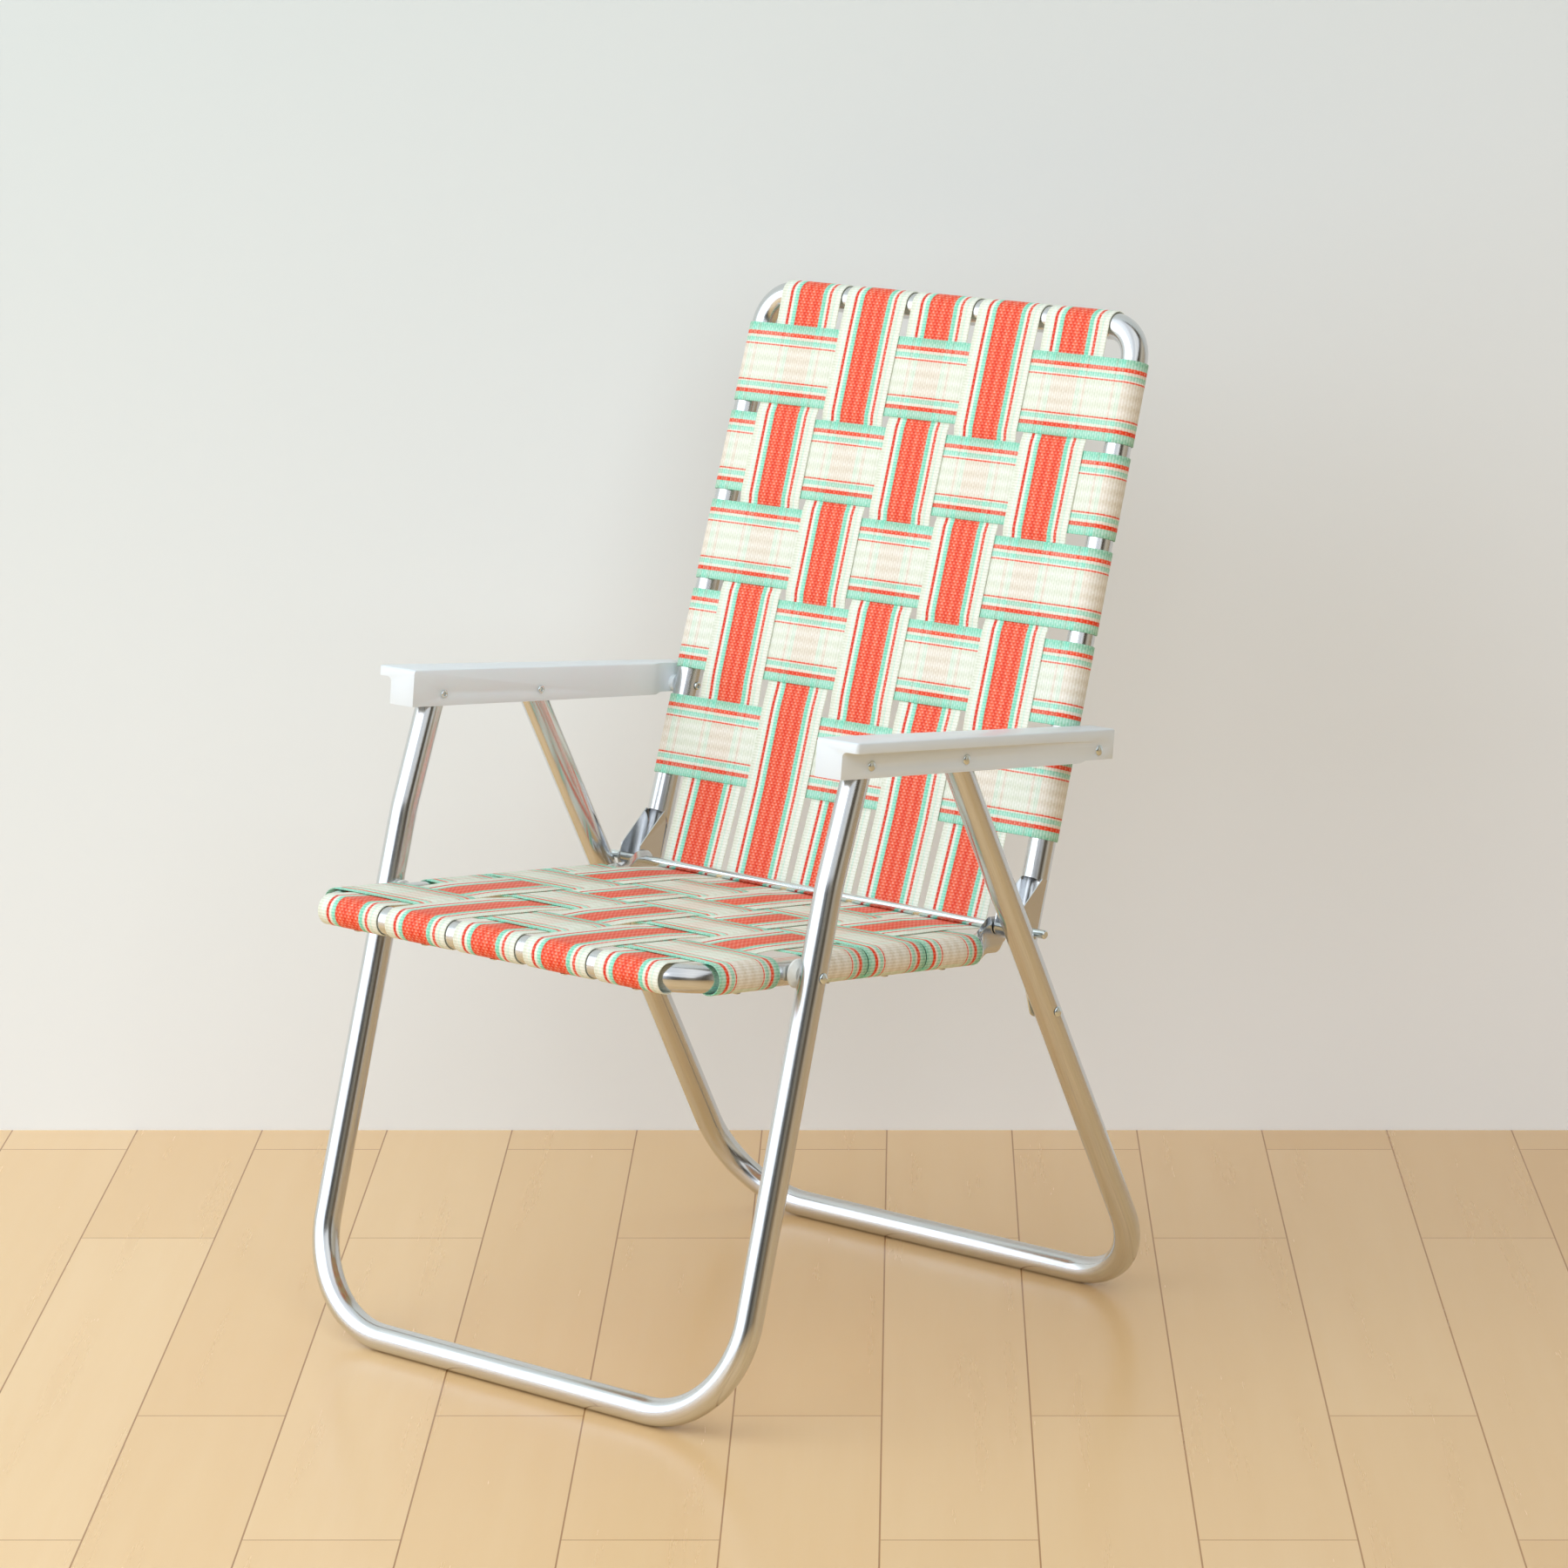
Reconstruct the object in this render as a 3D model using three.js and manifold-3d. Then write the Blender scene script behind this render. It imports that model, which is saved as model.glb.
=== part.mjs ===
// Folding webbed lawn chair: bent aluminium tube frames, moulded armrests and woven web straps.
// Millimetres. +Z is up, the sitter faces -Y, and +X is the sitter's left.

import * as THREE from "three";
import { mergeVertices } from "three/addons/utils/BufferGeometryUtils.js";
import Module from "manifold-3d";

const wasm = await Module();
wasm.setup();

// Tube stock
const tubeDiameter = 25.4;
const tubeWall = 1.2;
const tubeSides = 16;
const bendStep = Math.PI / 13;

// Clearance left between pieces that touch on the real chair
const fit = 0.3;

// Front leg frame: a U with a slight knee in each leg
const legHalfWidth = 264.2;
const frontLean = 0.2808;
const frontCornerRadius = 98;
const kneeHeight = 477.3;
const kneeLean = 0.3659;
const kneeRadius = 180;

// Rear leg frame: a plain U leaning the other way
const footSpread = 590;
const rearLean = 0.4803;
const rearCornerRadius = 92;

// How far the upper leg ends run past their pivots inside the armrests
const legPastPivot = 11;

// Pivot heights above the base tubes' underside
const armPivotHeight = 579.2;
const seatPivotHeight = 399.5;
const rodHeight = 386;
const linkPivotHeight = 310;

// Cross rod through seat, back and links
const rodDiameter = 7.9;
const rodPastLink = 28;
const rodChamfer = 1;

// Seat frame: a U with its corners at the front and crushed tabs at the rear
const seatToLeg = 6.8;
const seatReach = 127;
const seatCornerRadius = 52;
const seatBelowRod = 17;
const tabStart = 48.5;
const tabEndShare = 0.45;
const tabFlatness = 1.9;
const tabFull = 20;
const tabRiseStart = 27;
const tabRiseFull = 11;
const tabPastRod = 12;
const tabHeight = 34;
const tabThickness = 3.4;
const tabRise = 9;
const tabInset = 11.2;

// Back frame: an upturned U, slightly narrower at the top, opened into a channel at the rod
const backToLeg = 2.6;
const backTaper = 0.01255;
const backLean = 0.31;
const backHeight = 567;
const backCornerRadius = 32;
const backBehindRod = 23;
const backPivotUp = 175.4;
const lipHeight = 62;
const flangeNose = 8;
const flangeBackStep = 0.6;
const flangeShoulder = 12;

// Link plates between the rod and the rear legs
const linkWidth = 17;
const linkThickness = 1.7;

// Rivets
const rivetShank = 4.8;
const rivetHead = 9.8;
const rivetHeadHeight = 2.2;
const rivetTail = 8;
const rivetTailHeight = 1.7;

// Spacer between the seat tube and the front leg
const spacerDiameter = 26;
const spacerHub = 15;

// Armrest moulding, an open channel with a slab that overhangs outward
const armWidth = 30;
const armWall = 2;
const armRoof = 3.4;
const armAhead = 40;
const armBehind = 21;
const armBelowPivot = 11;
const armFrontHeight = 34.5;
const armRearHeight = 30;
const armOverhang = 17;
const armSlab = 9.5;
const armEdge = 1.6;
const armNoseRadius = 4;
const armFillet = 5;
const armStep = 2.3;
const armStepAhead = 26;
const armStepRun = 8;
const armRecess = 3;
const armRecessAhead = 36;
const armRecessRun = 20;
const armEndWall = 3;
const bossDiameter = 16;
const armSection = 60;

// Webbing
const webThickness = 1.2;
const weaveGap = 0.4;
const longWebGap = 7.1;
const longPitchShare = 0.356034;
const frontSpreadShare = 0.047;
const seatRowGap = 1.5;
const rowPastPivot = 56;
const lastRowToRod = 87.69;
const firstSeatRow = -61;
const backRowPitch = 88.7;
const backLowRowStep = 105;
const longWebCount = 5;
const seatRowCount = 4;
const backRowCount = 5;
const longHookSweep = Math.PI * 1.04;
const crossHookSweep = 1.04 * Math.PI;
const hookStep = Math.PI / 7;
const rodWrapStep = Math.PI / 5;
const rodWrapSplit = -Math.PI / 4;

// Faces around the small round parts, and steps on the small curves
const rivetRounds = 12;
const spacerRounds = 20;
const rodRounds = 16;
const bossRounds = 16;
const lugSteps = 5;
const linkSteps = 10;
const armSteps = 4;
const ribSteps = 6;
const triangleCorners = 3;

// Cutter overrun past the faces that a cut goes through
const overrun = 4;

const tubeRadius = tubeDiameter / 2;
const seatHalfWidth = legHalfWidth - tubeDiameter - seatToLeg;
const backHalfWidth = legHalfWidth - tubeDiameter - backToLeg;
const longWebPitch = seatHalfWidth * longPitchShare;
const longWebWidth = longWebPitch - longWebGap;
const boreRadius = tubeRadius - tubeWall;
const rodRadius = rodDiameter / 2;
const weaveRise = (webThickness + weaveGap) / 2;
const webRadius = tubeRadius + fit + webThickness / 2;

// The base tubes stand on a flat of their many-sided section
const flatTurn = Math.PI / tubeSides;
const tubeFlat = tubeRadius * Math.cos(flatTurn);

// Materials

function finish(color, roughness, metalness) {
  return new THREE.MeshStandardMaterial({ color, roughness, metalness });
}

const aluminium = () => finish(0xc9ccce, 0.28, 1);
const zincSteel = () => finish(0xb4bcc2, 0.38, 1);
const whitePlastic = () => finish(0xe9e7e0, 0.45, 0);
const nylon = () => finish(0xdedfdc, 0.5, 0);
const longWeb = () => finish(0xe8503a, 0.85, 0);
const crossWeb = () => finish(0xefe9d0, 0.85, 0);

// Solids

function signedVolume(geometry) {
  const points = geometry.attributes.position;
  const corner = [new THREE.Vector3(), new THREE.Vector3(), new THREE.Vector3()];
  let sum = 0;
  for (let i = 0; i < geometry.index.count; i += corner.length) {
    corner.forEach((c, k) => c.fromBufferAttribute(points, geometry.index.getX(i + k)));
    sum += corner[0].dot(corner[1].clone().cross(corner[2]));
  }
  return sum;
}

// One closed, welded surface with its faces pointing out
function closed(geometry) {
  const bare = geometry.clone();
  bare.deleteAttribute("normal");
  bare.deleteAttribute("uv");
  const welded = mergeVertices(bare);
  const kept = [];
  for (let i = 0; i < welded.index.count; i += triangleCorners) {
    const [a, b, c] = [0, 1, 2].map((k) => welded.index.getX(i + k));
    if (a !== b && b !== c && c !== a) kept.push(a, b, c);
  }
  welded.setIndex(kept);
  if (signedVolume(welded) < 0) {
    const index = welded.index;
    for (let i = 0; i < index.count; i += triangleCorners) {
      const first = index.getX(i);
      index.setX(i, index.getX(i + 1));
      index.setX(i + 1, first);
    }
  }
  return welded;
}

function solid(geometry) {
  const surface = closed(geometry);
  return new wasm.Manifold(new wasm.Mesh({
    numProp: 3,
    vertProperties: new Float32Array(surface.attributes.position.array),
    triVerts: new Uint32Array(surface.index.array),
  }));
}

function geometryOf(manifold) {
  const mesh = manifold.getMesh();
  const geometry = new THREE.BufferGeometry();
  geometry.setAttribute("position", new THREE.BufferAttribute(mesh.vertProperties, mesh.numProp));
  geometry.setIndex(new THREE.BufferAttribute(mesh.triVerts, 1));
  return geometry;
}

function cut(geometry, cutters) {
  let body = solid(geometry);
  for (const cutter of cutters) body = body.subtract(solid(cutter));
  return geometryOf(body);
}

// A drill along X through the place (x, y, z)
function drill(diameter, length, x, y, z) {
  const geometry = new THREE.CylinderGeometry(diameter / 2 + fit, diameter / 2 + fit, length, rivetRounds);
  geometry.rotateZ(Math.PI / 2);
  geometry.translate(x, y, z);
  return geometry;
}

function named(name, geometry, material) {
  const mesh = new THREE.Mesh(closed(geometry), material);
  mesh.name = name;
  mesh.geometry.computeVertexNormals();
  return mesh;
}

const sides = [
  { word: "left", sign: 1 },
  { word: "right", sign: -1 },
];

function mirrored(geometry, sign) {
  const copy = geometry.clone();
  copy.scale(sign, 1, 1);
  return copy;
}

// Bent tubes

// A path with a ring only where the tube starts, ends, bends or changes its section
class BentPath extends THREE.Curve {
  constructor(stations) {
    super();
    this.stations = stations;
  }

  station(share) {
    return this.stations[Math.round(share * (this.stations.length - 1))];
  }

  getPoint(share, target = new THREE.Vector3()) {
    return target.copy(this.station(share).point);
  }

  getPointAt(share, target) {
    return this.getPoint(share, target);
  }

  getTangentAt(share, target = new THREE.Vector3()) {
    return target.copy(this.station(share).tangent);
  }
}

// Corners are { at, radius }; a radius of zero only adds a ring
function bentPath(corners) {
  const stations = [];
  corners.forEach(({ at, radius }, i) => {
    const before = corners[Math.max(i - 1, 0)].at;
    const after = corners[Math.min(i + 1, corners.length - 1)].at;
    const arriving = at.clone().sub(before).normalize();
    const leaving = after.clone().sub(at).normalize();
    if (i === 0) arriving.copy(leaving);
    if (i === corners.length - 1) leaving.copy(arriving);
    if (!radius) {
      stations.push({ point: at.clone(), tangent: leaving.clone() });
      return;
    }
    const turn = arriving.angleTo(leaving);
    const reach = radius * Math.tan(turn / 2);
    const axis = arriving.clone().cross(leaving).normalize();
    const start = at.clone().addScaledVector(arriving, -reach);
    const inward = axis.clone().cross(arriving);
    const centre = start.clone().addScaledVector(inward, radius);
    const steps = Math.max(2, Math.ceil(turn / bendStep));
    for (let k = 0; k <= steps; k += 1) {
      const angle = (turn * k) / steps;
      const spoke = start.clone().sub(centre).applyAxisAngle(axis, angle);
      stations.push({
        point: centre.clone().add(spoke),
        tangent: arriving.clone().applyAxisAngle(axis, angle),
      });
    }
  });
  return new BentPath(stations);
}

function circlePoints(radius, turned) {
  return Array.from({ length: tubeSides }, (_, i) => {
    const angle = turned + (i * 2 * Math.PI) / tubeSides;
    return new THREE.Vector2(radius * Math.cos(angle), radius * Math.sin(angle));
  });
}

function tube(corners, turned = 0) {
  const section = new THREE.Shape(circlePoints(tubeRadius, turned));
  section.holes.push(new THREE.Path(circlePoints(boreRadius, turned).reverse()));
  const path = bentPath(corners);
  return closed(new THREE.ExtrudeGeometry(section, {
    steps: path.stations.length - 1,
    extrudePath: path,
    bevelEnabled: false,
  }));
}

// Pivot places in the middle plane, as (depth, height)

const place = (depth, height) => new THREE.Vector2(depth, height);

const kneeDepth = (kneeHeight - tubeFlat) * Math.tan(frontLean);

function frontLegDepth(height) {
  if (height < kneeHeight) return (height - tubeFlat) * Math.tan(frontLean);
  return kneeDepth + (height - kneeHeight) * Math.tan(kneeLean);
}

function rearLegDepth(height) {
  return footSpread - (height - tubeFlat) * Math.tan(rearLean);
}

const armPivot = place(frontLegDepth(armPivotHeight), armPivotHeight);
const seatPivot = place(frontLegDepth(seatPivotHeight), seatPivotHeight);

// The open chair locks with the rod resting behind the rear legs
const rodFromLeg = tubeRadius + rodRadius + fit;
const rodPlace = place(rearLegDepth(rodHeight) + rodFromLeg / Math.cos(rearLean), rodHeight);
const linkPivot = place(rearLegDepth(linkPivotHeight), linkPivotHeight);

const backUp = place(Math.sin(backLean), Math.cos(backLean));
const backRear = place(Math.cos(backLean), -Math.sin(backLean));
const backPivot = rodPlace.clone()
  .addScaledVector(backRear, backBehindRod)
  .addScaledVector(backUp, backPivotUp);

// The seat axis runs from the front leg pivot to a point below the rod
const rodFromSeatPivot = rodPlace.clone().sub(seatPivot);
const seatSlope = Math.asin(seatBelowRod / rodFromSeatPivot.length())
  - Math.atan2(rodFromSeatPivot.y, rodFromSeatPivot.x);
const rodAlongSeat = Math.sqrt(rodFromSeatPivot.lengthSq() - seatBelowRod ** 2);

// The armrest runs from the front leg pivot to the back pivot, and the rear leg crosses that line
const armLine = backPivot.clone().sub(armPivot);
const armSlope = -Math.atan2(armLine.y, armLine.x);
const armLength = armLine.length();
const armToRearLeg = (() => {
  const gap = rearLegDepth(armPivot.y) - armPivot.x;
  return gap / (Math.cos(armSlope) - Math.sin(armSlope) * Math.tan(rearLean));
})();
const rearLegPivot = armPivot.clone().addScaledVector(armLine, armToRearLeg / armLength);

// Groups: each moving set of pieces is built in its own frame

function groupAt(origin, turn) {
  const group = new THREE.Group();
  group.position.set(0, origin.x, origin.y);
  group.rotation.x = -turn;
  return group;
}

// Rivets along X

function rivetProfile(shankStart, shankEnd, headAt, tailAt) {
  const dome = [];
  const domeSteps = 3;
  if (headAt !== null) {
    for (let i = 0; i <= domeSteps; i += 1) {
      const angle = (i * Math.PI) / 2 / domeSteps;
      dome.push(new THREE.Vector2(
        Math.sin(angle) * rivetHead / 2,
        headAt + Math.cos(angle) * rivetHeadHeight,
      ));
    }
  } else {
    dome.push(new THREE.Vector2(0, shankEnd));
  }
  const tail = [];
  if (tailAt !== null) {
    tail.push(new THREE.Vector2(rivetTail / 2, tailAt));
    tail.push(new THREE.Vector2(rivetTail / 2, tailAt - rivetTailHeight / 2));
    tail.push(new THREE.Vector2(rivetTail / 4, tailAt - rivetTailHeight));
    tail.push(new THREE.Vector2(0, tailAt - rivetTailHeight));
  } else {
    tail.push(new THREE.Vector2(0, shankStart));
  }
  return [
    ...dome,
    new THREE.Vector2(rivetShank / 2, shankEnd),
    new THREE.Vector2(rivetShank / 2, shankStart),
    ...tail,
  ];
}

// from and to are the outer faces that the two heads sit on; a null face has no head
function rivet(name, from, to, head, tail, where, sign) {
  const profile = rivetProfile(from, to, head ? to : null, tail ? from : null);
  const geometry = new THREE.LatheGeometry(profile, rivetRounds);
  geometry.rotateZ(-Math.PI / 2);
  geometry.translate(0, where.x, where.y);
  return named(name, mirrored(geometry, sign), zincSteel());
}

// Front legs, the root of the chair

const legInner = legHalfWidth - tubeRadius;
const legOuter = legHalfWidth + tubeRadius;
const seatInner = seatHalfWidth - tubeRadius;
const seatOuter = seatHalfWidth + tubeRadius;
const linkInner = backHalfWidth + tubeRadius + fit;
const linkOuter = linkInner + linkThickness;

function frontFrame() {
  const group = new THREE.Group();
  const kneeUp = place(Math.sin(kneeLean), Math.cos(kneeLean));
  const top = armPivot.clone().addScaledVector(kneeUp, legPastPivot);
  const leg = (sign) => [
    { at: new THREE.Vector3(sign * legHalfWidth, top.x, top.y), radius: 0 },
    { at: new THREE.Vector3(sign * legHalfWidth, kneeDepth, kneeHeight), radius: kneeRadius },
    { at: new THREE.Vector3(sign * legHalfWidth, 0, tubeFlat), radius: frontCornerRadius },
  ];
  const frame = tube([...leg(1), ...leg(-1).reverse()], flatTurn - frontLean);
  const holes = sides.flatMap(({ sign }) => [armPivot, seatPivot].map((pivot) => (
    drill(rivetShank, tubeDiameter + overrun, sign * legHalfWidth, pivot.x, pivot.y)
  )));
  group.add(named("front_leg_frame", cut(frame, holes), aluminium()));
  for (const { word, sign } of sides) {
    const rivetName = `seat_pivot_rivet_${word}`;
    group.add(rivet(rivetName, seatInner - fit, legOuter + fit, true, true, seatPivot, sign));
    group.add(named(`seat_pivot_spacer_${word}`, mirrored(spacer(), sign), nylon()));
  }
  return group;
}

// A flanged washer that keeps the seat tube clear of the front leg
function spacer() {
  const start = seatOuter + fit;
  const end = legInner - fit;
  const flangeEnd = start + (end - start) / 2;
  const bore = rivetShank / 2 + fit;
  const profile = [
    new THREE.Vector2(bore, start),
    new THREE.Vector2(spacerDiameter / 2, start),
    new THREE.Vector2(spacerDiameter / 2, flangeEnd),
    new THREE.Vector2(spacerHub / 2, end),
    new THREE.Vector2(bore, end),
    new THREE.Vector2(bore, start),
  ];
  const geometry = new THREE.LatheGeometry(profile, spacerRounds);
  geometry.rotateZ(-Math.PI / 2);
  geometry.translate(0, seatPivot.x, seatPivot.y);
  return geometry;
}

// Rear legs

function rearFrame() {
  const group = new THREE.Group();
  const up = place(-Math.sin(rearLean), Math.cos(rearLean));
  const top = rearLegPivot.clone().addScaledVector(up, legPastPivot);
  const leg = (sign) => [
    { at: new THREE.Vector3(sign * legHalfWidth, top.x, top.y), radius: 0 },
    { at: new THREE.Vector3(sign * legHalfWidth, footSpread, tubeFlat), radius: rearCornerRadius },
  ];
  const frame = tube([...leg(1), ...leg(-1).reverse()], rearLean - flatTurn);
  const holes = sides.flatMap(({ sign }) => [rearLegPivot, linkPivot].map((pivot) => (
    drill(rivetShank, tubeDiameter + overrun, sign * legHalfWidth, pivot.x, pivot.y)
  )));
  group.add(named("rear_leg_frame", cut(frame, holes), aluminium()));
  for (const { word, sign } of sides) {
    const rivetName = `link_rivet_outer_${word}`;
    const start = linkOuter + fit;
    group.add(rivet(rivetName, start, legOuter + fit, true, false, linkPivot, sign));
  }
  return group;
}

// Webbing

// Left and right edges of a strap of even thickness along a line of points
function strapShape(line) {
  const half = webThickness / 2;
  const edges = [1, -1].map((side) => line.map((point, i) => {
    const before = line[Math.max(i - 1, 0)];
    const after = line[Math.min(i + 1, line.length - 1)];
    const arriving = point.clone().sub(before).normalize();
    const leaving = after.clone().sub(point).normalize();
    if (i === 0) arriving.copy(leaving);
    if (i === line.length - 1) leaving.copy(arriving);
    const along = arriving.clone().add(leaving).normalize();
    const reach = half / along.dot(leaving);
    return new THREE.Vector2(point.x - along.y * reach * side, point.y + along.x * reach * side);
  }));
  return new THREE.Shape([...edges[0], ...edges[1].reverse()]);
}

function arc(centre, radius, from, sweep, step) {
  const count = Math.max(1, Math.ceil(Math.abs(sweep) / step));
  return Array.from({ length: count + 1 }, (_, i) => {
    const angle = from + (sweep * i) / count;
    return place(centre.x + radius * Math.cos(angle), centre.y + radius * Math.sin(angle));
  });
}

// A strap's height as it passes over and under the straps that cross it
function weaveLine(centres, width, level, overAt) {
  return centres.flatMap((centre, i) => {
    const height = level + (overAt(i) ? weaveRise : -weaveRise);
    return [place(centre - width / 2, height), place(centre + width / 2, height)];
  });
}

const seatRowPitch = (rodAlongSeat - lastRowToRod - rowPastPivot) / (seatRowCount - 2);
const crossWebWidth = seatRowPitch - seatRowGap;
const longCentres = Array.from({ length: longWebCount }, (_, i) => (
  (i - (longWebCount - 1) / 2) * longWebPitch
));
// The top row of the back sits just below the frame's corners
const topBackRow = backHeight - backCornerRadius - crossWebWidth / 2;
const seatRows = Array.from({ length: seatRowCount }, (_, i) => (
  i === 0 ? firstSeatRow : rowPastPivot + (i - 1) * seatRowPitch
));
const backRows = Array.from({ length: backRowCount }, (_, i) => (
  i === backRowCount - 1
    ? topBackRow - (i - 1) * backRowPitch - backLowRowStep
    : topBackRow - i * backRowPitch
));

// The long straps spread a little from the rod to the front bar
function spreadAt(along) {
  const share = (rodAlongSeat - along) / (rodAlongSeat + seatReach);
  return 1 + frontSpreadShare * Math.min(share, 1);
}

// A cross strap passes over the long straps of its own parity
const crossOver = (row, column) => (row + column) % 2 === 0;

// A cross strap between two side tubes, hooked round both: drawn in (x, height), wide along depth
function crossStrap(row, halfWidth, centres) {
  const wrap = (sign) => arc(
    place(sign * halfWidth, 0),
    webRadius,
    Math.PI / 2,
    -sign * crossHookSweep,
    hookStep,
  );
  const woven = weaveLine(centres, longWebWidth, webRadius, (i) => crossOver(row, i));
  const line = [...wrap(-1).reverse(), ...woven, ...wrap(1)];
  const geometry = new THREE.ExtrudeGeometry(strapShape(line), {
    depth: crossWebWidth,
    bevelEnabled: false,
  });
  geometry.translate(0, 0, -crossWebWidth / 2);
  return geometry;
}

// A long strap is drawn in (along, height) and is wide along x
function longStrap(line, x) {
  const geometry = new THREE.ExtrudeGeometry(strapShape(line), {
    depth: longWebWidth,
    bevelEnabled: false,
  });
  geometry.translate(0, 0, -longWebWidth / 2);
  geometry.rotateY(Math.PI / 2);
  geometry.rotateX(Math.PI / 2);
  geometry.translate(x, 0, 0);
  return geometry;
}

// Seat

const rodInSeat = place(rodAlongSeat, seatBelowRod);
const rodWrapRadius = rodRadius + fit + webThickness / 2;

function smooth(share) {
  const t = Math.min(Math.max(share, 0), 1);
  return t * t * (3 - 2 * t);
}

// The rear ends of the seat tube are crushed flat, set inward and raised to the rod
function crushTabs(geometry) {
  const points = geometry.attributes.position;
  const end = rodAlongSeat + tabPastRod;
  for (let i = 0; i < points.count; i += 1) {
    const y = points.getY(i);
    const share = smooth((y - (rodAlongSeat - tabStart)) / (tabStart - tabFull));
    const riseShare = smooth((y - (rodAlongSeat - tabRiseStart)) / (tabRiseStart - tabRiseFull));
    if (share === 0) continue;
    const side = Math.sign(points.getX(i));
    const out = Math.abs(points.getX(i)) - seatHalfWidth;
    const up = points.getZ(i);
    const isBore = Math.hypot(out, up) < (tubeRadius + boreRadius) / 2;
    const skin = isBore ? 2 * tubeWall : 0;
    const angle = Math.atan2(up, out);
    const nearEnd = Math.min(1, (end - y) / tabPastRod);
    const round = Math.max(tabEndShare, Math.sqrt(nearEnd * (2 - nearEnd)));
    const halfFlat = (tabThickness - skin) / 2;
    const halfTall = ((tabHeight - skin) / 2) * round;
    const flatOut = -tabInset + halfFlat * Math.min(Math.max(tabFlatness * Math.cos(angle), -1), 1);
    const flatUp = halfTall * (Math.asin(Math.sin(angle)) / (Math.PI / 2));
    const newOut = out + (flatOut - out) * share;
    points.setX(i, side * (seatHalfWidth + newOut));
    points.setZ(i, up + (flatUp - up) * share + tabRise * riseShare);
  }
  return geometry;
}

function seatFrameGeometry() {
  const at = (sign, y) => new THREE.Vector3(sign * seatHalfWidth, y, 0);
  const end = rodAlongSeat + tabPastRod;
  const start = rodAlongSeat - tabStart;
  const crushRings = 4;
  const endRings = 3;
  const side = (sign) => {
    const rings = [];
    for (let i = 0; i <= endRings; i += 1) {
      rings.push({ at: at(sign, end - (tabPastRod * i * i) / (endRings * endRings)), radius: 0 });
    }
    rings.push({ at: at(sign, rodAlongSeat - tabRiseFull), radius: 0 });
    for (let i = 0; i <= crushRings; i += 1) {
      const share = 1 - i / crushRings;
      rings.push({ at: at(sign, start + (tabStart - tabFull) * share), radius: 0 });
    }
    rings.push({ at: at(sign, -seatReach), radius: seatCornerRadius });
    return rings;
  };
  const frame = crushTabs(tube([...side(1), ...side(-1).reverse()]));
  const cutters = sides.flatMap(({ sign }) => [
    drill(rivetShank, tubeDiameter + overrun, sign * seatHalfWidth, 0, 0),
    drill(rodDiameter, tabThickness + overrun, sign * (seatHalfWidth - tabInset), rodAlongSeat, seatBelowRod),
  ]);
  return cut(frame, cutters);
}

function seatLongLine(column) {
  const hook = arc(
    place(-seatReach, 0),
    webRadius,
    Math.PI / 2 + longHookSweep,
    -longHookSweep,
    hookStep,
  );
  const woven = weaveLine(seatRows, crossWebWidth, webRadius, (i) => !crossOver(i, column));
  const fromBelow = -Math.PI / 2;
  const splitGap = fit / rodWrapRadius / 2;
  const round = arc(rodInSeat, rodWrapRadius, fromBelow, rodWrapSplit - fromBelow - splitGap, rodWrapStep);
  return [...hook, ...woven, ...round];
}

function seat() {
  const group = groupAt(seatPivot, seatSlope);
  group.add(named("seat_frame", seatFrameGeometry(), aluminium()));
  longCentres.forEach((x, column) => {
    const name = `seat_long_web_${column + 1}`;
    const strap = longStrap(seatLongLine(column), x);
    const points = strap.attributes.position;
    for (let i = 0; i < points.count; i += 1) {
      points.setX(i, points.getX(i) + x * (spreadAt(points.getY(i)) - 1));
    }
    group.add(named(name, strap, longWeb()));
  });
  seatRows.forEach((along, row) => {
    const centres = longCentres.map((x) => x * spreadAt(along));
    const strap = crossStrap(row, seatHalfWidth, centres);
    strap.rotateX(Math.PI / 2);
    strap.translate(0, along, 0);
    group.add(named(`seat_cross_web_${row + 1}`, strap, crossWeb()));
  });
  group.add(crossRod());
  return group;
}

function crossRod() {
  const half = linkOuter + rodPastLink;
  const profile = [
    new THREE.Vector2(0, half),
    new THREE.Vector2(rodRadius - rodChamfer, half),
    new THREE.Vector2(rodRadius, half - rodChamfer),
    new THREE.Vector2(rodRadius, rodChamfer - half),
    new THREE.Vector2(rodRadius - rodChamfer, -half),
    new THREE.Vector2(0, -half),
  ];
  const geometry = new THREE.LatheGeometry(profile, rodRounds);
  geometry.rotateZ(-Math.PI / 2);
  geometry.translate(0, rodAlongSeat, seatBelowRod);
  return named("cross_rod", geometry, zincSteel());
}

// Back: local Z runs up the back from the rod, local Y rearward

function backSideAt(up) {
  return backHalfWidth - up * Math.tan(backTaper);
}

// Side outline of one channel flange, as (rearward, up) from the rod
function flangeShape() {
  const rearEdge = backBehindRod + flangeBackStep;
  const shape = new THREE.Shape();
  shape.moveTo(rearEdge, lipHeight);
  shape.lineTo(rearEdge, -flangeNose);
  shape.lineTo(0, -flangeNose);
  shape.absarc(0, 0, flangeNose, -Math.PI / 2, -Math.PI, true);
  shape.lineTo(-flangeNose, flangeShoulder);
  shape.quadraticCurveTo(0, lipHeight / 2, backBehindRod - tubeRadius / 2, lipHeight);
  return shape;
}

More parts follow.
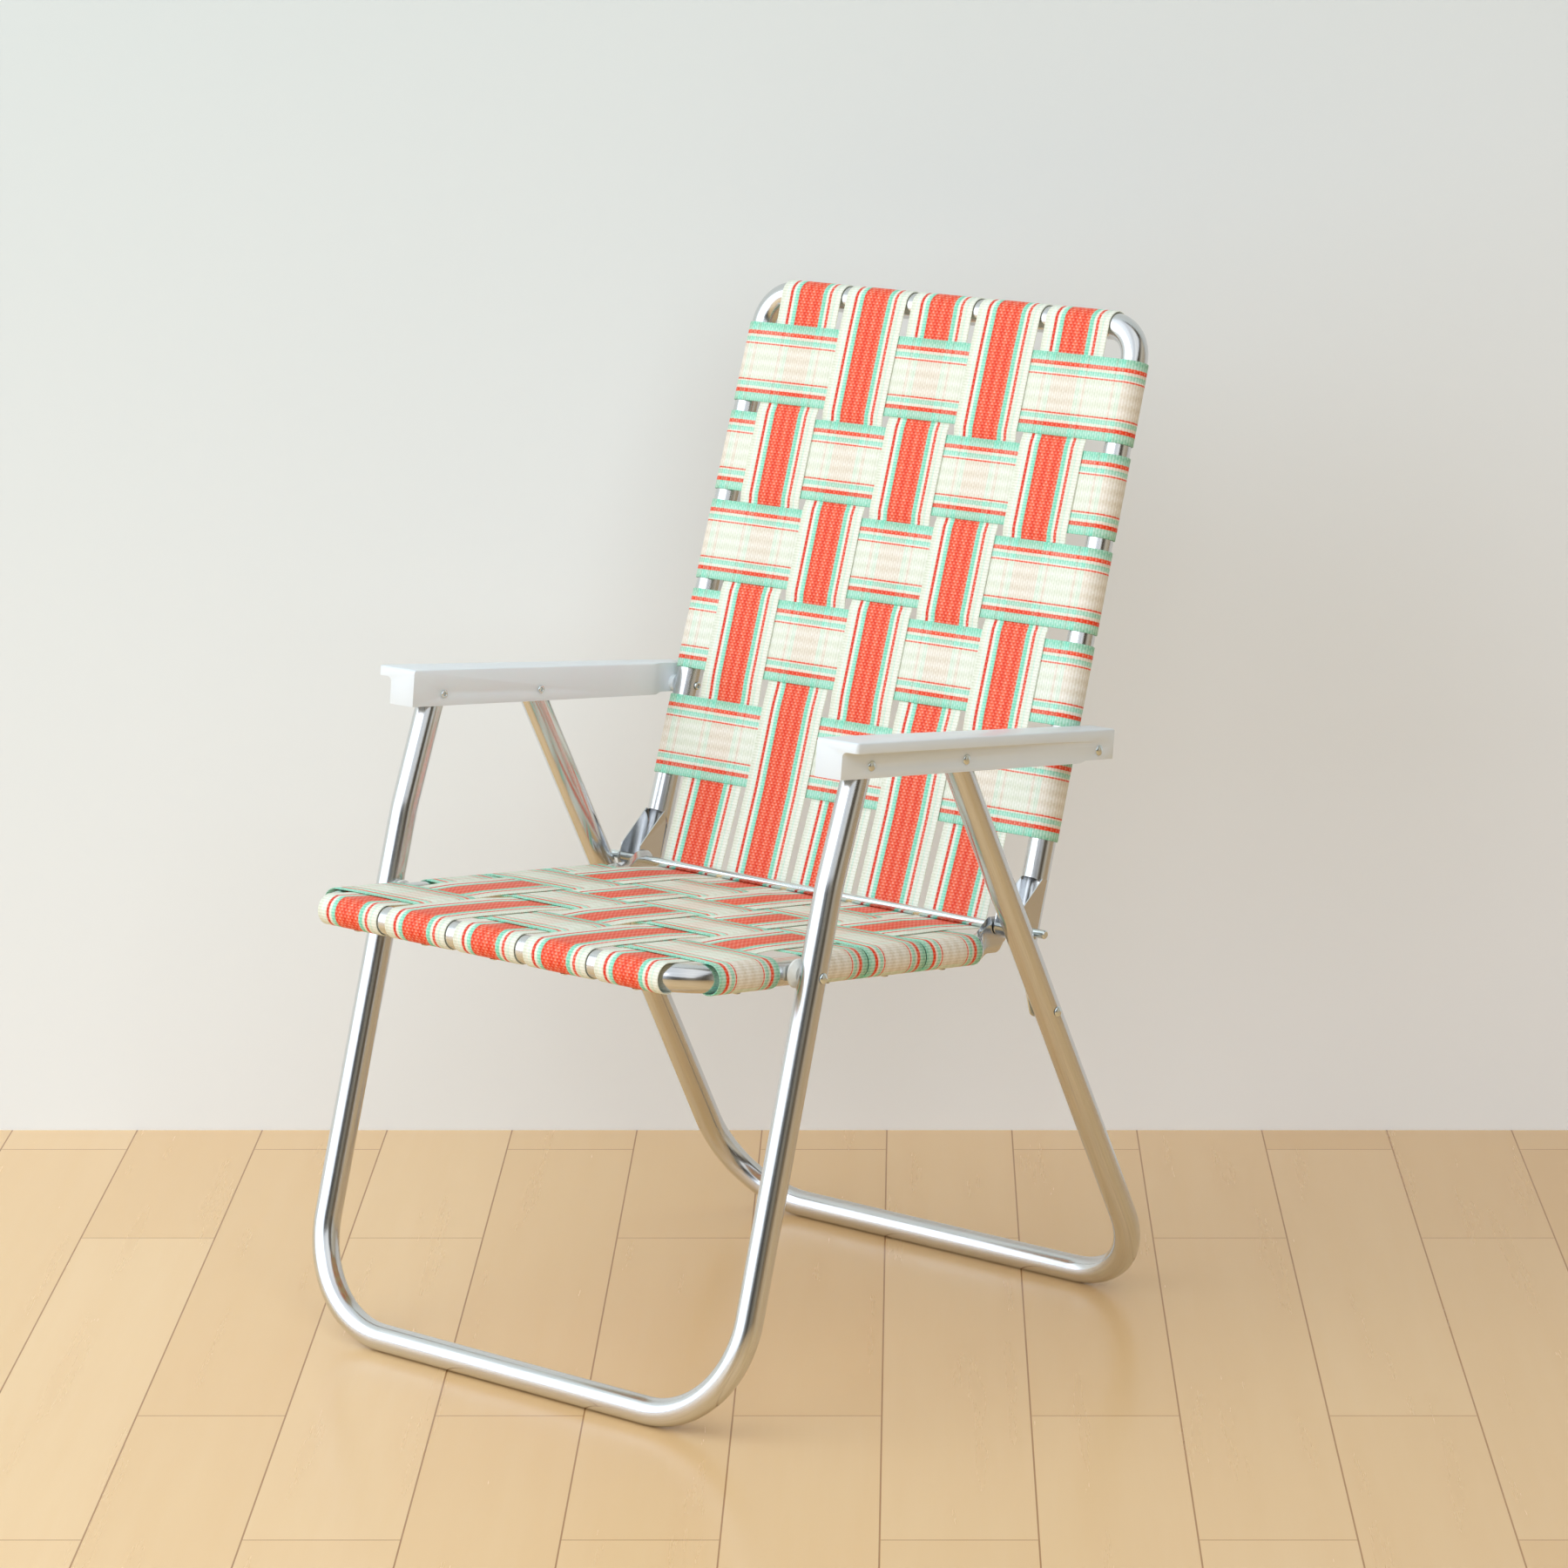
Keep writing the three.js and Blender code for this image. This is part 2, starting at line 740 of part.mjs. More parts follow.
function backFrameGeometry() {
  const at = (sign, up) => new THREE.Vector3(sign * backSideAt(up), backBehindRod, up);
  const side = (sign) => [
    { at: at(sign, -flangeNose), radius: 0 },
    { at: at(sign, backHeight), radius: backCornerRadius },
  ];
  let body = solid(tube([...side(1), ...side(-1).reverse()]));
  for (const { sign } of sides) {
    const middle = sign * backSideAt(0);
    const opening = new THREE.BoxGeometry(
      tubeDiameter + overrun,
      tubeDiameter,
      lipHeight + flangeNose + overrun,
    );
    opening.translate(middle, backBehindRod - tubeRadius, (lipHeight - flangeNose - overrun) / 2);
    body = body.subtract(solid(opening));
    for (const edge of [-1, 1]) {
      const wallMiddle = middle + edge * (tubeRadius - tubeWall / 2);
      body = body.add(solid(flangeAt(wallMiddle, sign)));
    }
    const rodHole = drill(rodDiameter, tubeDiameter + overrun, middle, 0, 0);
    body = body.subtract(solid(rodHole));
    const pivotHole = drill(
      rivetShank,
      tubeDiameter + overrun,
      sign * backSideAt(backPivotUp),
      backBehindRod,
      backPivotUp,
    );
    body = body.subtract(solid(pivotHole));
  }
  return geometryOf(body);
}

// The flange is drawn in (rearward, up) and stands across x
function flangeAt(x, sign) {
  const geometry = new THREE.ExtrudeGeometry(flangeShape(), {
    depth: tubeWall,
    bevelEnabled: false,
    curveSegments: lugSteps,
  });
  geometry.translate(0, 0, -tubeWall / 2);
  geometry.rotateY(Math.PI / 2);
  geometry.rotateX(Math.PI / 2);
  geometry.translate(x, 0, 0);
  return followTaper(geometry, sign * backSideAt(0));
}

// Draws in what stands at x = middle so that it follows the narrowing side tubes
function followTaper(geometry, middle) {
  const points = geometry.attributes.position;
  for (let i = 0; i < points.count; i += 1) {
    const narrowing = backSideAt(points.getZ(i)) - backSideAt(0);
    points.setX(i, points.getX(i) + Math.sign(middle) * narrowing);
  }
  return geometry;
}

function backLongLine(column) {
  const hook = arc(
    place(backHeight, 0),
    webRadius,
    Math.PI / 2,
    -longHookSweep,
    hookStep,
  );
  const rising = [...backRows].reverse();
  const overAt = (i) => !crossOver(backRowCount - 1 - i, column);
  const woven = weaveLine(rising, crossWebWidth, webRadius, overAt);
  return [...rodToBack(), ...woven, ...hook];
}

// From under the rod round its rear side, in (up, forward) from the back tube's axis
function rodToBack() {
  const splitGap = fit / rodWrapRadius / 2;
  const from = rodWrapSplit + splitGap - seatSlope + backLean - Math.PI / 2;
  return arc(place(0, backBehindRod), rodWrapRadius, from, -Math.PI / 2 - from, rodWrapStep);
}

function back() {
  const group = groupAt(rodPlace, backLean);
  group.add(named("back_frame", backFrameGeometry(), aluminium()));
  longCentres.forEach((x, column) => {
    const strap = longStrap(backLongLine(column), 0);
    strap.rotateX(Math.PI / 2);
    strap.translate(x, backBehindRod, 0);
    group.add(named(`back_long_web_${column + 1}`, strap, longWeb()));
  });
  backRows.forEach((up, row) => {
    const strap = crossStrap(row, backSideAt(up), longCentres);
    strap.rotateX(Math.PI);
    strap.translate(0, backBehindRod, up);
    const points = strap.attributes.position;
    for (let i = 0; i < points.count; i += 1) {
      points.setX(i, points.getX(i) * backSideAt(points.getZ(i)) / backSideAt(up));
    }
    group.add(named(`back_cross_web_${row + 1}`, strap, crossWeb()));
  });
  for (const { word, sign } of sides) {
    const innerFace = backSideAt(backPivotUp) - tubeRadius - fit;
    const outerFace = backSideAt(backPivotUp) + tubeRadius;
    const where = place(backBehindRod, backPivotUp);
    group.add(rivet(`back_rivet_inner_${word}`, innerFace, outerFace, false, true, where, sign));
  }
  return group;
}

// Link plates: local Y points from the rod to the rear leg pivot

function links() {
  const span = linkPivot.clone().sub(rodPlace);
  const group = groupAt(rodPlace, -Math.atan2(span.y, span.x));
  const length = span.length();
  const shape = new THREE.Shape();
  shape.absarc(0, 0, linkWidth / 2, Math.PI / 2, -Math.PI / 2, false);
  shape.absarc(length, 0, linkWidth / 2, -Math.PI / 2, Math.PI / 2, false);
  shape.holes.push(new THREE.Path().absarc(0, 0, rodRadius + fit, 0, 2 * Math.PI, true));
  shape.holes.push(new THREE.Path().absarc(length, 0, rivetShank / 2 + fit, 0, 2 * Math.PI, true));
  const plate = new THREE.ExtrudeGeometry(shape, {
    depth: linkThickness,
    bevelEnabled: false,
    curveSegments: linkSteps,
  });
  plate.rotateY(Math.PI / 2);
  plate.rotateX(Math.PI / 2);
  plate.translate(linkInner, 0, 0);
  for (const { word, sign } of sides) {
    group.add(named(`link_${word}`, mirrored(plate, sign), zincSteel()));
    const where = place(length, 0);
    const rivetName = `link_rivet_inner_${word}`;
    group.add(rivet(rivetName, linkInner - fit, linkOuter, false, true, where, sign));
  }
  return group;
}

// Armrests: local Y runs from the front leg pivot to the back pivot

const armHalf = armWidth / 2;
const armFrontEnd = -armAhead;
const armRearEnd = armLength + armBehind;
const armRun = armRearEnd - armFrontEnd;
const armTop = armFrontHeight - armBelowPivot;
const armTopSlope = Math.atan((armFrontHeight - armRearHeight) / armRun);

// Drawn in (along, height) and made wide across x, centred on the leg
function acrossArm(shape, width, middle = 0) {
  const geometry = new THREE.ExtrudeGeometry(shape, {
    depth: width,
    bevelEnabled: false,
    curveSegments: armSteps,
  });
  geometry.translate(0, 0, -width / 2);
  geometry.rotateY(Math.PI / 2);
  geometry.rotateX(Math.PI / 2);
  geometry.translate(middle, 0, 0);
  return geometry;
}

// Moves what was made below a level top at the nose to the armrest's sloping top
function underArmTop(geometry) {
  geometry.rotateX(-armTopSlope);
  geometry.translate(0, armFrontEnd, armTop);
  return geometry;
}

// The outline from above, with the overhang tapering to nothing at the rear
function armPlan() {
  const outer = armHalf + armOverhang;
  const shape = new THREE.Shape();
  shape.moveTo(-armHalf, 0);
  shape.lineTo(outer - armNoseRadius, 0);
  shape.absarc(outer - armNoseRadius, armNoseRadius, armNoseRadius, -Math.PI / 2, 0, false);
  shape.lineTo(armHalf, armRun);
  shape.lineTo(-armHalf, armRun);
  const geometry = new THREE.ExtrudeGeometry(shape, {
    depth: armSection,
    bevelThickness: armEdge,
    bevelSize: armEdge,
    bevelOffset: -armEdge,
    bevelSegments: 2,
    curveSegments: armSteps,
  });
  geometry.translate(0, 0, -armSection - armEdge);
  return underArmTop(geometry);
}

function armSide() {
  const high = armTop + overrun;
  const low = -armBelowPivot;
  const stepStart = armLength - armStepAhead;
  const shape = new THREE.Shape();
  shape.moveTo(armFrontEnd, low);
  shape.lineTo(stepStart, low);
  shape.lineTo(stepStart + armStepRun, low + armStep);
  shape.lineTo(armRearEnd + overrun, low + armStep);
  shape.lineTo(armRearEnd + overrun, high);
  shape.lineTo(armFrontEnd + armNoseRadius, high);
  shape.lineTo(armFrontEnd + armNoseRadius, armTop);
  shape.absarc(
    armFrontEnd + armNoseRadius,
    armTop - armNoseRadius,
    armNoseRadius,
    Math.PI / 2,
    Math.PI,
    false,
  );
  return acrossArm(shape, armWidth + 2 * (armOverhang + overrun));
}

// What is missing below the overhang, with a fillet against the channel's outer wall
function armUnderOverhang() {
  const far = armHalf + armOverhang + overrun;
  const shape = new THREE.Shape();
  shape.moveTo(armHalf, -armSection);
  shape.lineTo(far, -armSection);
  shape.lineTo(far, -armSlab);
  shape.lineTo(armHalf + armFillet, -armSlab);
  shape.absarc(armHalf + armFillet, -armSlab - armFillet, armFillet, Math.PI / 2, Math.PI, false);
  const geometry = new THREE.ExtrudeGeometry(shape, {
    depth: armRun + 2 * overrun,
    bevelEnabled: false,
    curveSegments: armSteps,
  });
  geometry.rotateX(Math.PI / 2);
  geometry.translate(0, armRun + overrun, 0);
  return underArmTop(geometry);
}

// The channel, open below; its rear part is narrower where the inner wall is recessed
function armChannel(from, to, width, middle) {
  const roof = (along) => armTop - armRoof - (along - armFrontEnd) * Math.tan(armTopSlope);
  const low = -armBelowPivot - overrun;
  const shape = new THREE.Shape();
  shape.moveTo(from, low);
  shape.lineTo(to, low);
  shape.lineTo(to, roof(to));
  shape.lineTo(from, roof(from));
  return acrossArm(shape, width, middle);
}

// The inner wall curves outward ahead of the back tube
function armInnerRecess() {
  const start = armLength - armRecessAhead;
  const end = start + armRecessRun;
  const bend = armRecessRun / 2;
  const shape = new THREE.Shape();
  shape.moveTo(-armHalf, start);
  shape.bezierCurveTo(-armHalf, start + bend, armRecess - armHalf, end - bend, armRecess - armHalf, end);
  shape.lineTo(armRecess - armHalf, armRearEnd + overrun);
  shape.lineTo(-armHalf - overrun, armRearEnd + overrun);
  shape.lineTo(-armHalf - overrun, start);
  const geometry = new THREE.ExtrudeGeometry(shape, {
    depth: armSection,
    bevelEnabled: false,
    curveSegments: ribSteps,
  });
  geometry.translate(0, 0, -armSection / 2);
  return geometry;
}

function armrestGeometry() {
  const bossFace = backSideAt(backPivotUp) + tubeRadius + fit - legHalfWidth;
  const bossEnd = armRecess + armWall - armHalf;
  const recessStart = armLength - armRecessAhead;
  const mainWidth = armWidth - 2 * armWall;
  const rearWidth = mainWidth - armRecess;
  let body = solid(armPlan()).intersect(solid(armSide())).subtract(solid(armUnderOverhang()));
  const main = armChannel(armFrontEnd + armEndWall, recessStart, mainWidth, 0);
  const rear = armChannel(recessStart - overrun, armRearEnd - armEndWall, rearWidth, armRecess / 2);
  body = body.subtract(solid(main)).subtract(solid(rear)).subtract(solid(armInnerRecess()));
  const bossLength = bossEnd - bossFace;
  const boss = new THREE.CylinderGeometry(bossDiameter / 2, bossDiameter / 2, bossLength, bossRounds);
  boss.rotateZ(Math.PI / 2);
  boss.translate((bossFace + bossEnd) / 2, armLength, 0);
  body = body.add(solid(boss));
  for (const along of [0, armToRearLeg, armLength]) {
    body = body.subtract(solid(drill(rivetShank, armWidth + 2 * overrun, 0, along, 0)));
  }
  const geometry = geometryOf(body);
  geometry.translate(legHalfWidth, 0, 0);
  return geometry;
}

function armrests() {
  const group = groupAt(armPivot, armSlope);
  const geometry = armrestGeometry();
  const inner = legHalfWidth - armHalf - fit;
  const outer = legHalfWidth + armHalf + fit;
  const backFace = backSideAt(backPivotUp) + tubeRadius + fit;
  for (const { word, sign } of sides) {
    group.add(named(`armrest_${word}`, mirrored(geometry, sign), whitePlastic()));
    group.add(rivet(`arm_front_rivet_${word}`, inner, outer, true, true, place(0, 0), sign));
    const rearAt = place(armToRearLeg, 0);
    group.add(rivet(`arm_rear_rivet_${word}`, inner, outer, true, true, rearAt, sign));
    const backAt = place(armLength, 0);
    group.add(rivet(`back_rivet_outer_${word}`, backFace, outer, true, false, backAt, sign));
  }
  return group;
}

const chair = new THREE.Group();
chair.add(frontFrame());
chair.add(rearFrame());
chair.add(seat());
chair.add(back());
chair.add(links());
chair.add(armrests());

// The origin is under the middle of the chair, on the floor
chair.updateMatrixWorld(true);
const extent = new THREE.Box3().setFromObject(chair, true);
chair.position.y = -(extent.min.y + extent.max.y) / 2;
chair.position.z = -extent.min.z;

export default chair;
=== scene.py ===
"""Looks of a folding webbed lawn chair: bent aluminium tubes, woven straps, moulded armrests, zinc hardware.

Pieces are drawn in millimetres in the chair's side-view sketch (X across, Y depth, Z height) or in the
tilted frame of the seat, back, links or armrests, and are placed in the row frame in metres.
"""

import math

import bpy
from mathutils import Matrix, Vector


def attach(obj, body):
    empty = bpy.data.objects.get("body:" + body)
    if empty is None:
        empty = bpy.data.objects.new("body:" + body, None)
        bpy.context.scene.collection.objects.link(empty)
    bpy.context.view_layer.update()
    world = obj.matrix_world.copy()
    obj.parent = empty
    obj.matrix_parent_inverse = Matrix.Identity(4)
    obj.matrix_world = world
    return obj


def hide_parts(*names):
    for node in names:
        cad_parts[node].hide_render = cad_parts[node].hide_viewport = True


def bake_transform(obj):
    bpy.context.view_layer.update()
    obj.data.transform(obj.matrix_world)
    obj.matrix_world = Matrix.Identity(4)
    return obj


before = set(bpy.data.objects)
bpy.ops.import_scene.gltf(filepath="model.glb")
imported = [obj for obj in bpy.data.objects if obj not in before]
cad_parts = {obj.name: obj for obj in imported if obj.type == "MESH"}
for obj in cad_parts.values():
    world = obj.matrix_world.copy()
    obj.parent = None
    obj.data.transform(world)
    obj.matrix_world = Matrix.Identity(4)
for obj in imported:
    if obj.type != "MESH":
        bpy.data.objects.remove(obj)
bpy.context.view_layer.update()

MM = 0.001
SIDES = (("left", 1), ("right", -1))

# Tubes
TUBE_RADIUS = 12.7
BORE_RADIUS = 11.5
TUBE_WALL = TUBE_RADIUS - BORE_RADIUS
TUBE_AXIS_HEIGHT = 12.456
TUBE_SIDES = 48
BEND_STEP = math.pi / 40
FIT = 0.3

# Front and rear legs
LEG_HALF_WIDTH = 264.2
FRONT_LEAN = 0.2808
FRONT_CORNER = 98
KNEE_HEIGHT = 477.3
KNEE_LEAN = 0.3659
KNEE_RADIUS = 180
FOOT_SPREAD = 590
REAR_LEAN = 0.4803
REAR_CORNER = 92
LEG_PAST_PIVOT = 11

# Pivots as (depth, height)
ARM_PIVOT = (173.114, 579.2)
REAR_LEG_PIVOT = (301.7494, 565.7284)
SEAT_PIVOT = (111.6315, 399.5)
ROD = (414.4989, 386.0)
LINK_PIVOT = (434.9819, 310.0)

# Turns of the tilted frames
SEAT_TURN = 0.10065
BACK_TURN = 0.31
LINK_TURN = 1.30754
ARM_TURN = 0.10435

# Seat frame, with ends crushed flat for the rod
SEAT_HALF_WIDTH = 232
SEAT_REACH = 127
SEAT_CORNER = 52
ROD_ALONG_SEAT = 302.69
ROD_ABOVE_SEAT = 17
TAB_START = 48.5
TAB_FULL = 20
TAB_RISE_START = 27
TAB_RISE_FULL = 11
TAB_PAST_ROD = 12
TAB_HEIGHT = 34
TAB_THICKNESS = 3.4
TAB_RISE = 9
TAB_INSET = 11.2

# Back frame, with channel ends that hold the rod
BACK_HALF_WIDTH = 236.2
BACK_TAPER = 0.01255
BACK_HEIGHT = 567
BACK_CORNER = 32
BACK_BEHIND_ROD = 23
BACK_PIVOT_UP = 175.4
LIP_HEIGHT = 50
FLANGE_NOSE = 8
FLANGE_BACK_STEP = 0.6
FLANGE_SHOULDER = 12

# Rod, links, rivets and screws
ROD_RADIUS = 3.95
ROD_PAST_LINK = 28
LINK_WIDTH = 17
LINK_THICKNESS = 1.7
LINK_INNER = BACK_HALF_WIDTH + TUBE_RADIUS + FIT
LINK_OUTER = LINK_INNER + LINK_THICKNESS
SHANK_RADIUS = 2.4
HEAD_RADIUS = 4.9
HEAD_HEIGHT = 2.2
TAIL_RADIUS = 4.0
TAIL_HEIGHT = 1.7
SPACER_RADIUS = 13
SPACER_HUB = 7.5
SCREW_HEAD = 3.2
SCREW_WASHER = 4.3
SCREW_HEIGHT = 1.3
SCREW_FROM_END = 0.31

# Armrests
ARM_HALF = 15

# Webbing
WEB = 1.2
WEB_RADIUS = TUBE_RADIUS + FIT + WEB / 2
WEAVE_RISE = 0.8
LONG_WIDTH = 75.5
LONG_PITCH = 82.6
LONG_COUNT = 5
CROSS_WIDTH = 78
SEAT_ROWS = (-61, 56, 135.5, 215)
BACK_ROWS = (496, 407.3, 318.6, 229.9, 124.9)
HOOK = 1.14 * math.pi
FRONT_SPREAD = 0.047
WRAP_STEPS = 28
ROD_WRAP_STEPS = 14


# Places

ROW = Matrix.Translation(Vector((0, -297.325, 0)))


def tilted(pivot, turn):
    """The frame of a moving set of pieces: its own X across, Y rearward and Z up, in millimetres."""
    return ROW @ Matrix.Translation(Vector((0, *pivot))) @ Matrix.Rotation(-turn, 4, "X")


SEAT = tilted(SEAT_PIVOT, SEAT_TURN)
BACK = tilted(ROD, BACK_TURN)
LINKS = tilted(ROD, LINK_TURN)
ARMS = tilted(ARM_PIVOT, ARM_TURN)


def back_side_at(up):
    return BACK_HALF_WIDTH - up * math.tan(BACK_TAPER)


def smooth(share):
    share = min(max(share, 0), 1)
    return share * share * (3 - 2 * share)


# Mesh helpers


def piece_of(name, points, faces, place, coords=None, sharp=35):
    """An object from points in millimetres in a tilted frame; coords gives each face its UV corners."""
    mesh = bpy.data.meshes.new(name)
    mesh.from_pydata([(place @ Vector(p)) * MM for p in points], [], faces)
    if coords:
        layer = mesh.uv_layers.new(name="UVMap")
        flat = [value for face in coords for corner in face for value in corner]
        layer.data.foreach_set("uv", flat)
    mesh.update()
    soften(mesh, sharp)
    piece = bpy.data.objects.new(name, mesh)
    bpy.context.scene.collection.objects.link(piece)
    return piece


def soften(mesh, sharp=35):
    mesh.shade_smooth()
    mesh.set_sharp_from_angle(angle=math.radians(sharp))


def apply_modifiers(piece, sharp=35):
    bpy.context.view_layer.update()
    graph = bpy.context.evaluated_depsgraph_get()
    made = bpy.data.meshes.new_from_object(piece.evaluated_get(graph), depsgraph=graph)
    piece.modifiers.clear()
    piece.data = made
    soften(made, sharp)


def carve(piece, tools, operation="DIFFERENCE"):
    """Cuts tools from piece, or joins them to it, and removes them."""
    for tool in tools:
        step = piece.modifiers.new("carve", "BOOLEAN")
        step.operation = operation
        step.solver = "EXACT"
        step.object = tool
    apply_modifiers(piece)
    for tool in tools:
        bpy.data.objects.remove(tool)


def bevel(piece, width, segments=3, angle=40):
    step = piece.modifiers.new("edges", "BEVEL")
    step.width = width * MM
    step.segments = segments
    step.limit_method = "ANGLE"
    step.angle_limit = math.radians(angle)
    step.harden_normals = False
    apply_modifiers(piece)


def bent_path(corners):
    """Points along straight runs joined by round bends; a corner is (point, radius)."""
    line = []
    for i, (at, radius) in enumerate(corners):
        if not radius:
            line.append(at)
            continue
        arriving = (at - corners[i - 1][0]).normalized()
        leaving = (corners[i + 1][0] - at).normalized()
        turn = arriving.angle(leaving)
        start = at - arriving * radius * math.tan(turn / 2)
        inward = (leaving - arriving * arriving.dot(leaving)).normalized()
        count = max(3, math.ceil(turn / BEND_STEP))
        for k in range(count + 1):
            angle = turn * k / count
            line.append(start + inward * radius * (1 - math.cos(angle)) + arriving * radius * math.sin(angle))
    return line


def ring_frames(line):
    """Two directions square to the line at each of its points, carried along without twist."""
    frames = []
    normal = Vector((1, 0, 0))
    last = None
    for i in range(len(line)):
        before = line[max(i - 1, 0)]
        after = line[min(i + 1, len(line) - 1)]
        arriving = (line[i] - before).normalized() if i else (after - line[i]).normalized()
        leaving = (after - line[i]).normalized() if i < len(line) - 1 else arriving
        along = (arriving + leaving).normalized()
        if last is not None:
            normal = last.rotation_difference(along) @ normal
        normal = (normal - along * normal.dot(along)).normalized()
        last = along
        frames.append((normal, along.cross(normal)))
    return frames


def tube(name, corners, place, reshape=None):
    """A bent tube with an open bore. UV is millimetres round and along it."""
    line = bent_path(corners)
    frames = ring_frames(line)
    run = [0.0]
    for i in range(1, len(line)):
        run.append(run[-1] + (line[i] - line[i - 1]).length)
    points, faces, coords = [], [], []
    girth = 2 * math.pi * TUBE_RADIUS
    for radius, bore in ((TUBE_RADIUS, False), (BORE_RADIUS, True)):
        first = len(points)
        for centre, (across, up) in zip(line, frames):
            for k in range(TUBE_SIDES):
                angle = 2 * math.pi * k / TUBE_SIDES
                point = centre + (across * math.cos(angle) + up * math.sin(angle)) * radius
                points.append(reshape(point, bore) if reshape else point)
        for i in range(len(line) - 1):
            for k in range(TUBE_SIDES):
                here = first + i * TUBE_SIDES
                there = here + TUBE_SIDES
                after = (k + 1) % TUBE_SIDES
                face = [here + k, here + after, there + after, there + k]
                u0, u1 = girth * k / TUBE_SIDES, girth * (k + 1) / TUBE_SIDES
                corner = [(u0, run[i]), (u1, run[i]), (u1, run[i + 1]), (u0, run[i + 1])]
                faces.append(face[::-1] if bore else face)
                coords.append(corner[::-1] if bore else corner)
    inner = len(line) * TUBE_SIDES
    for start, flip in ((0, True), (inner - TUBE_SIDES, False)):
        for k in range(TUBE_SIDES):
            after = (k + 1) % TUBE_SIDES
            face = [start + k, start + after, inner + start + after, inner + start + k]
            faces.append(face[::-1] if flip else face)
            coords.append([(0, 0)] * 4)
    return piece_of(name, points, faces, place, coords)


def lathe(name, profile, place, where, sign=1, sides=40, sharp=35):
    """A turned piece about a line along X at where, a (depth, height); profile is its (x, radius) points."""
    points, faces, coords = [], [], []
    rings = []
    for x, radius in profile:
        if radius == 0:
            rings.append([len(points)] * sides)
            points.append((sign * x, *where))
            continue
        rings.append([len(points) + k for k in range(sides)])
        for k in range(sides):
            angle = 2 * math.pi * k / sides
            points.append((
                sign * x,
                where[0] + radius * math.cos(angle),
                where[1] + radius * math.sin(angle),
            ))
    for i in range(len(rings) - 1):
        for k in range(sides):
            after = (k + 1) % sides
            face = [rings[i][k], rings[i][after], rings[i + 1][after], rings[i + 1][k]]
            face = list(dict.fromkeys(face if sign > 0 else face[::-1]))
            if len(face) < 3:
                continue
            faces.append(face)
            coords.append([(profile[i][0], 0)] * len(face))
    return piece_of(name, points, faces, place, coords, sharp)


def drill(radius, place, x, where, reach=TUBE_RADIUS + 4):
    """A cutter along X."""
    profile = [(x + reach, 0), (x + reach, radius), (x - reach, radius), (x - reach, 0)]
    return lathe("cutter", profile, place, where, 1, 32)


def plate(name, outline, thickness, place, x):
    """A flat plate square to X; outline is (depth, height) points in order."""
    count = len(outline)
    points = [(x + side * thickness / 2, *p) for side in (1, -1) for p in outline]
    faces = [list(range(count)), list(range(2 * count - 1, count - 1, -1))]
    faces += [[i, i + count, (i + 1) % count + count, (i + 1) % count] for i in range(count)]
    if sum(a[0] * b[1] - b[0] * a[1] for a, b in zip(outline, outline[1:] + outline[:1])) < 0:
        faces = [face[::-1] for face in faces]
    return piece_of(name, points, faces, place, [[(0, 0)] * len(face) for face in faces])


def arc(centre, radius, start, sweep, steps):
    return [
        (
            centre[0] + radius * math.cos(start + sweep * i / steps),
            centre[1] + radius * math.sin(start + sweep * i / steps),
        )
        for i in range(steps + 1)
    ]


# Materials


def linear(code):
    """An sRGB hex colour as linear light."""
    parts = [int(code[i:i + 2], 16) / 255 for i in (1, 3, 5)]
    return (*[c / 12.92 if c <= 0.04045 else ((c + 0.055) / 1.055) ** 2.4 for c in parts], 1.0)


def add(tree, kind, inputs=None, **settings):
    """A node with its settings, and its inputs linked where a socket is given and set where a value is."""
    node = tree.nodes.new(kind)
    for key, value in settings.items():
        setattr(node, key, value)
    for key, value in (inputs or {}).items():
        if isinstance(value, bpy.types.NodeSocket):
            tree.links.new(value, node.inputs[key])
        else:
            node.inputs[key].default_value = value
    return node


def material(name):
    made = bpy.data.materials.new(name)
    made.use_nodes = True
    made.node_tree.nodes.clear()
    return made, made.node_tree


def finish_surface(tree, shader):
    add(tree, "ShaderNodeOutputMaterial", {"Surface": shader})


def math_node(tree, operation, a, b=0.0, clamp=False):
    return add(tree, "ShaderNodeMath", {0: a, 1: b}, operation=operation, use_clamp=clamp).outputs[0]


def mix_colour(tree, factor, a, b):
    node = add(tree, "ShaderNodeMix", {"Factor": factor}, data_type="RGBA")
    for socket, value in ((node.inputs[6], a), (node.inputs[7], b)):
        if isinstance(value, bpy.types.NodeSocket):
            tree.links.new(value, socket)
        else:
            socket.default_value = value
    return node.outputs[2]


def noise(tree, vector, scale, detail=3.0, roughness=0.5):
    inputs = {"Vector": vector, "Scale": scale, "Detail": detail, "Roughness": roughness}
    return add(tree, "ShaderNodeTexNoise", inputs).outputs[0]


def scaled(tree, vector, scale, shift=(0, 0, 0), turn=(0, 0, 0)):
    inputs = {"Vector": vector, "Scale": scale, "Location": shift, "Rotation": turn}
    return add(tree, "ShaderNodeMapping", inputs).outputs[0]


def ranged(tree, value, low, high):
    return add(tree, "ShaderNodeMapRange", {0: value, 3: low, 4: high}).outputs[0]


def stripes(tree, share, bands):
    """A colour ramp with crisp bands; bands is (start share, colour) in order."""
    node = add(tree, "ShaderNodeValToRGB", {"Fac": share})
    ramp = node.color_ramp
    ramp.interpolation = "LINEAR"
    soft = 0.004
    stops = [(0.0, bands[0][1])]
    for (start, colour), (_, before) in zip(bands[1:], bands):
        stops += [(start - soft, before), (start + soft, colour)]
    while len(ramp.elements) > 1:
        ramp.elements.remove(ramp.elements[-1])
    for i, (at, colour) in enumerate(stops):
        element = ramp.elements[0] if i == 0 else ramp.elements.new(at)
        element.position = at
        element.color = colour
    return node.outputs[0]


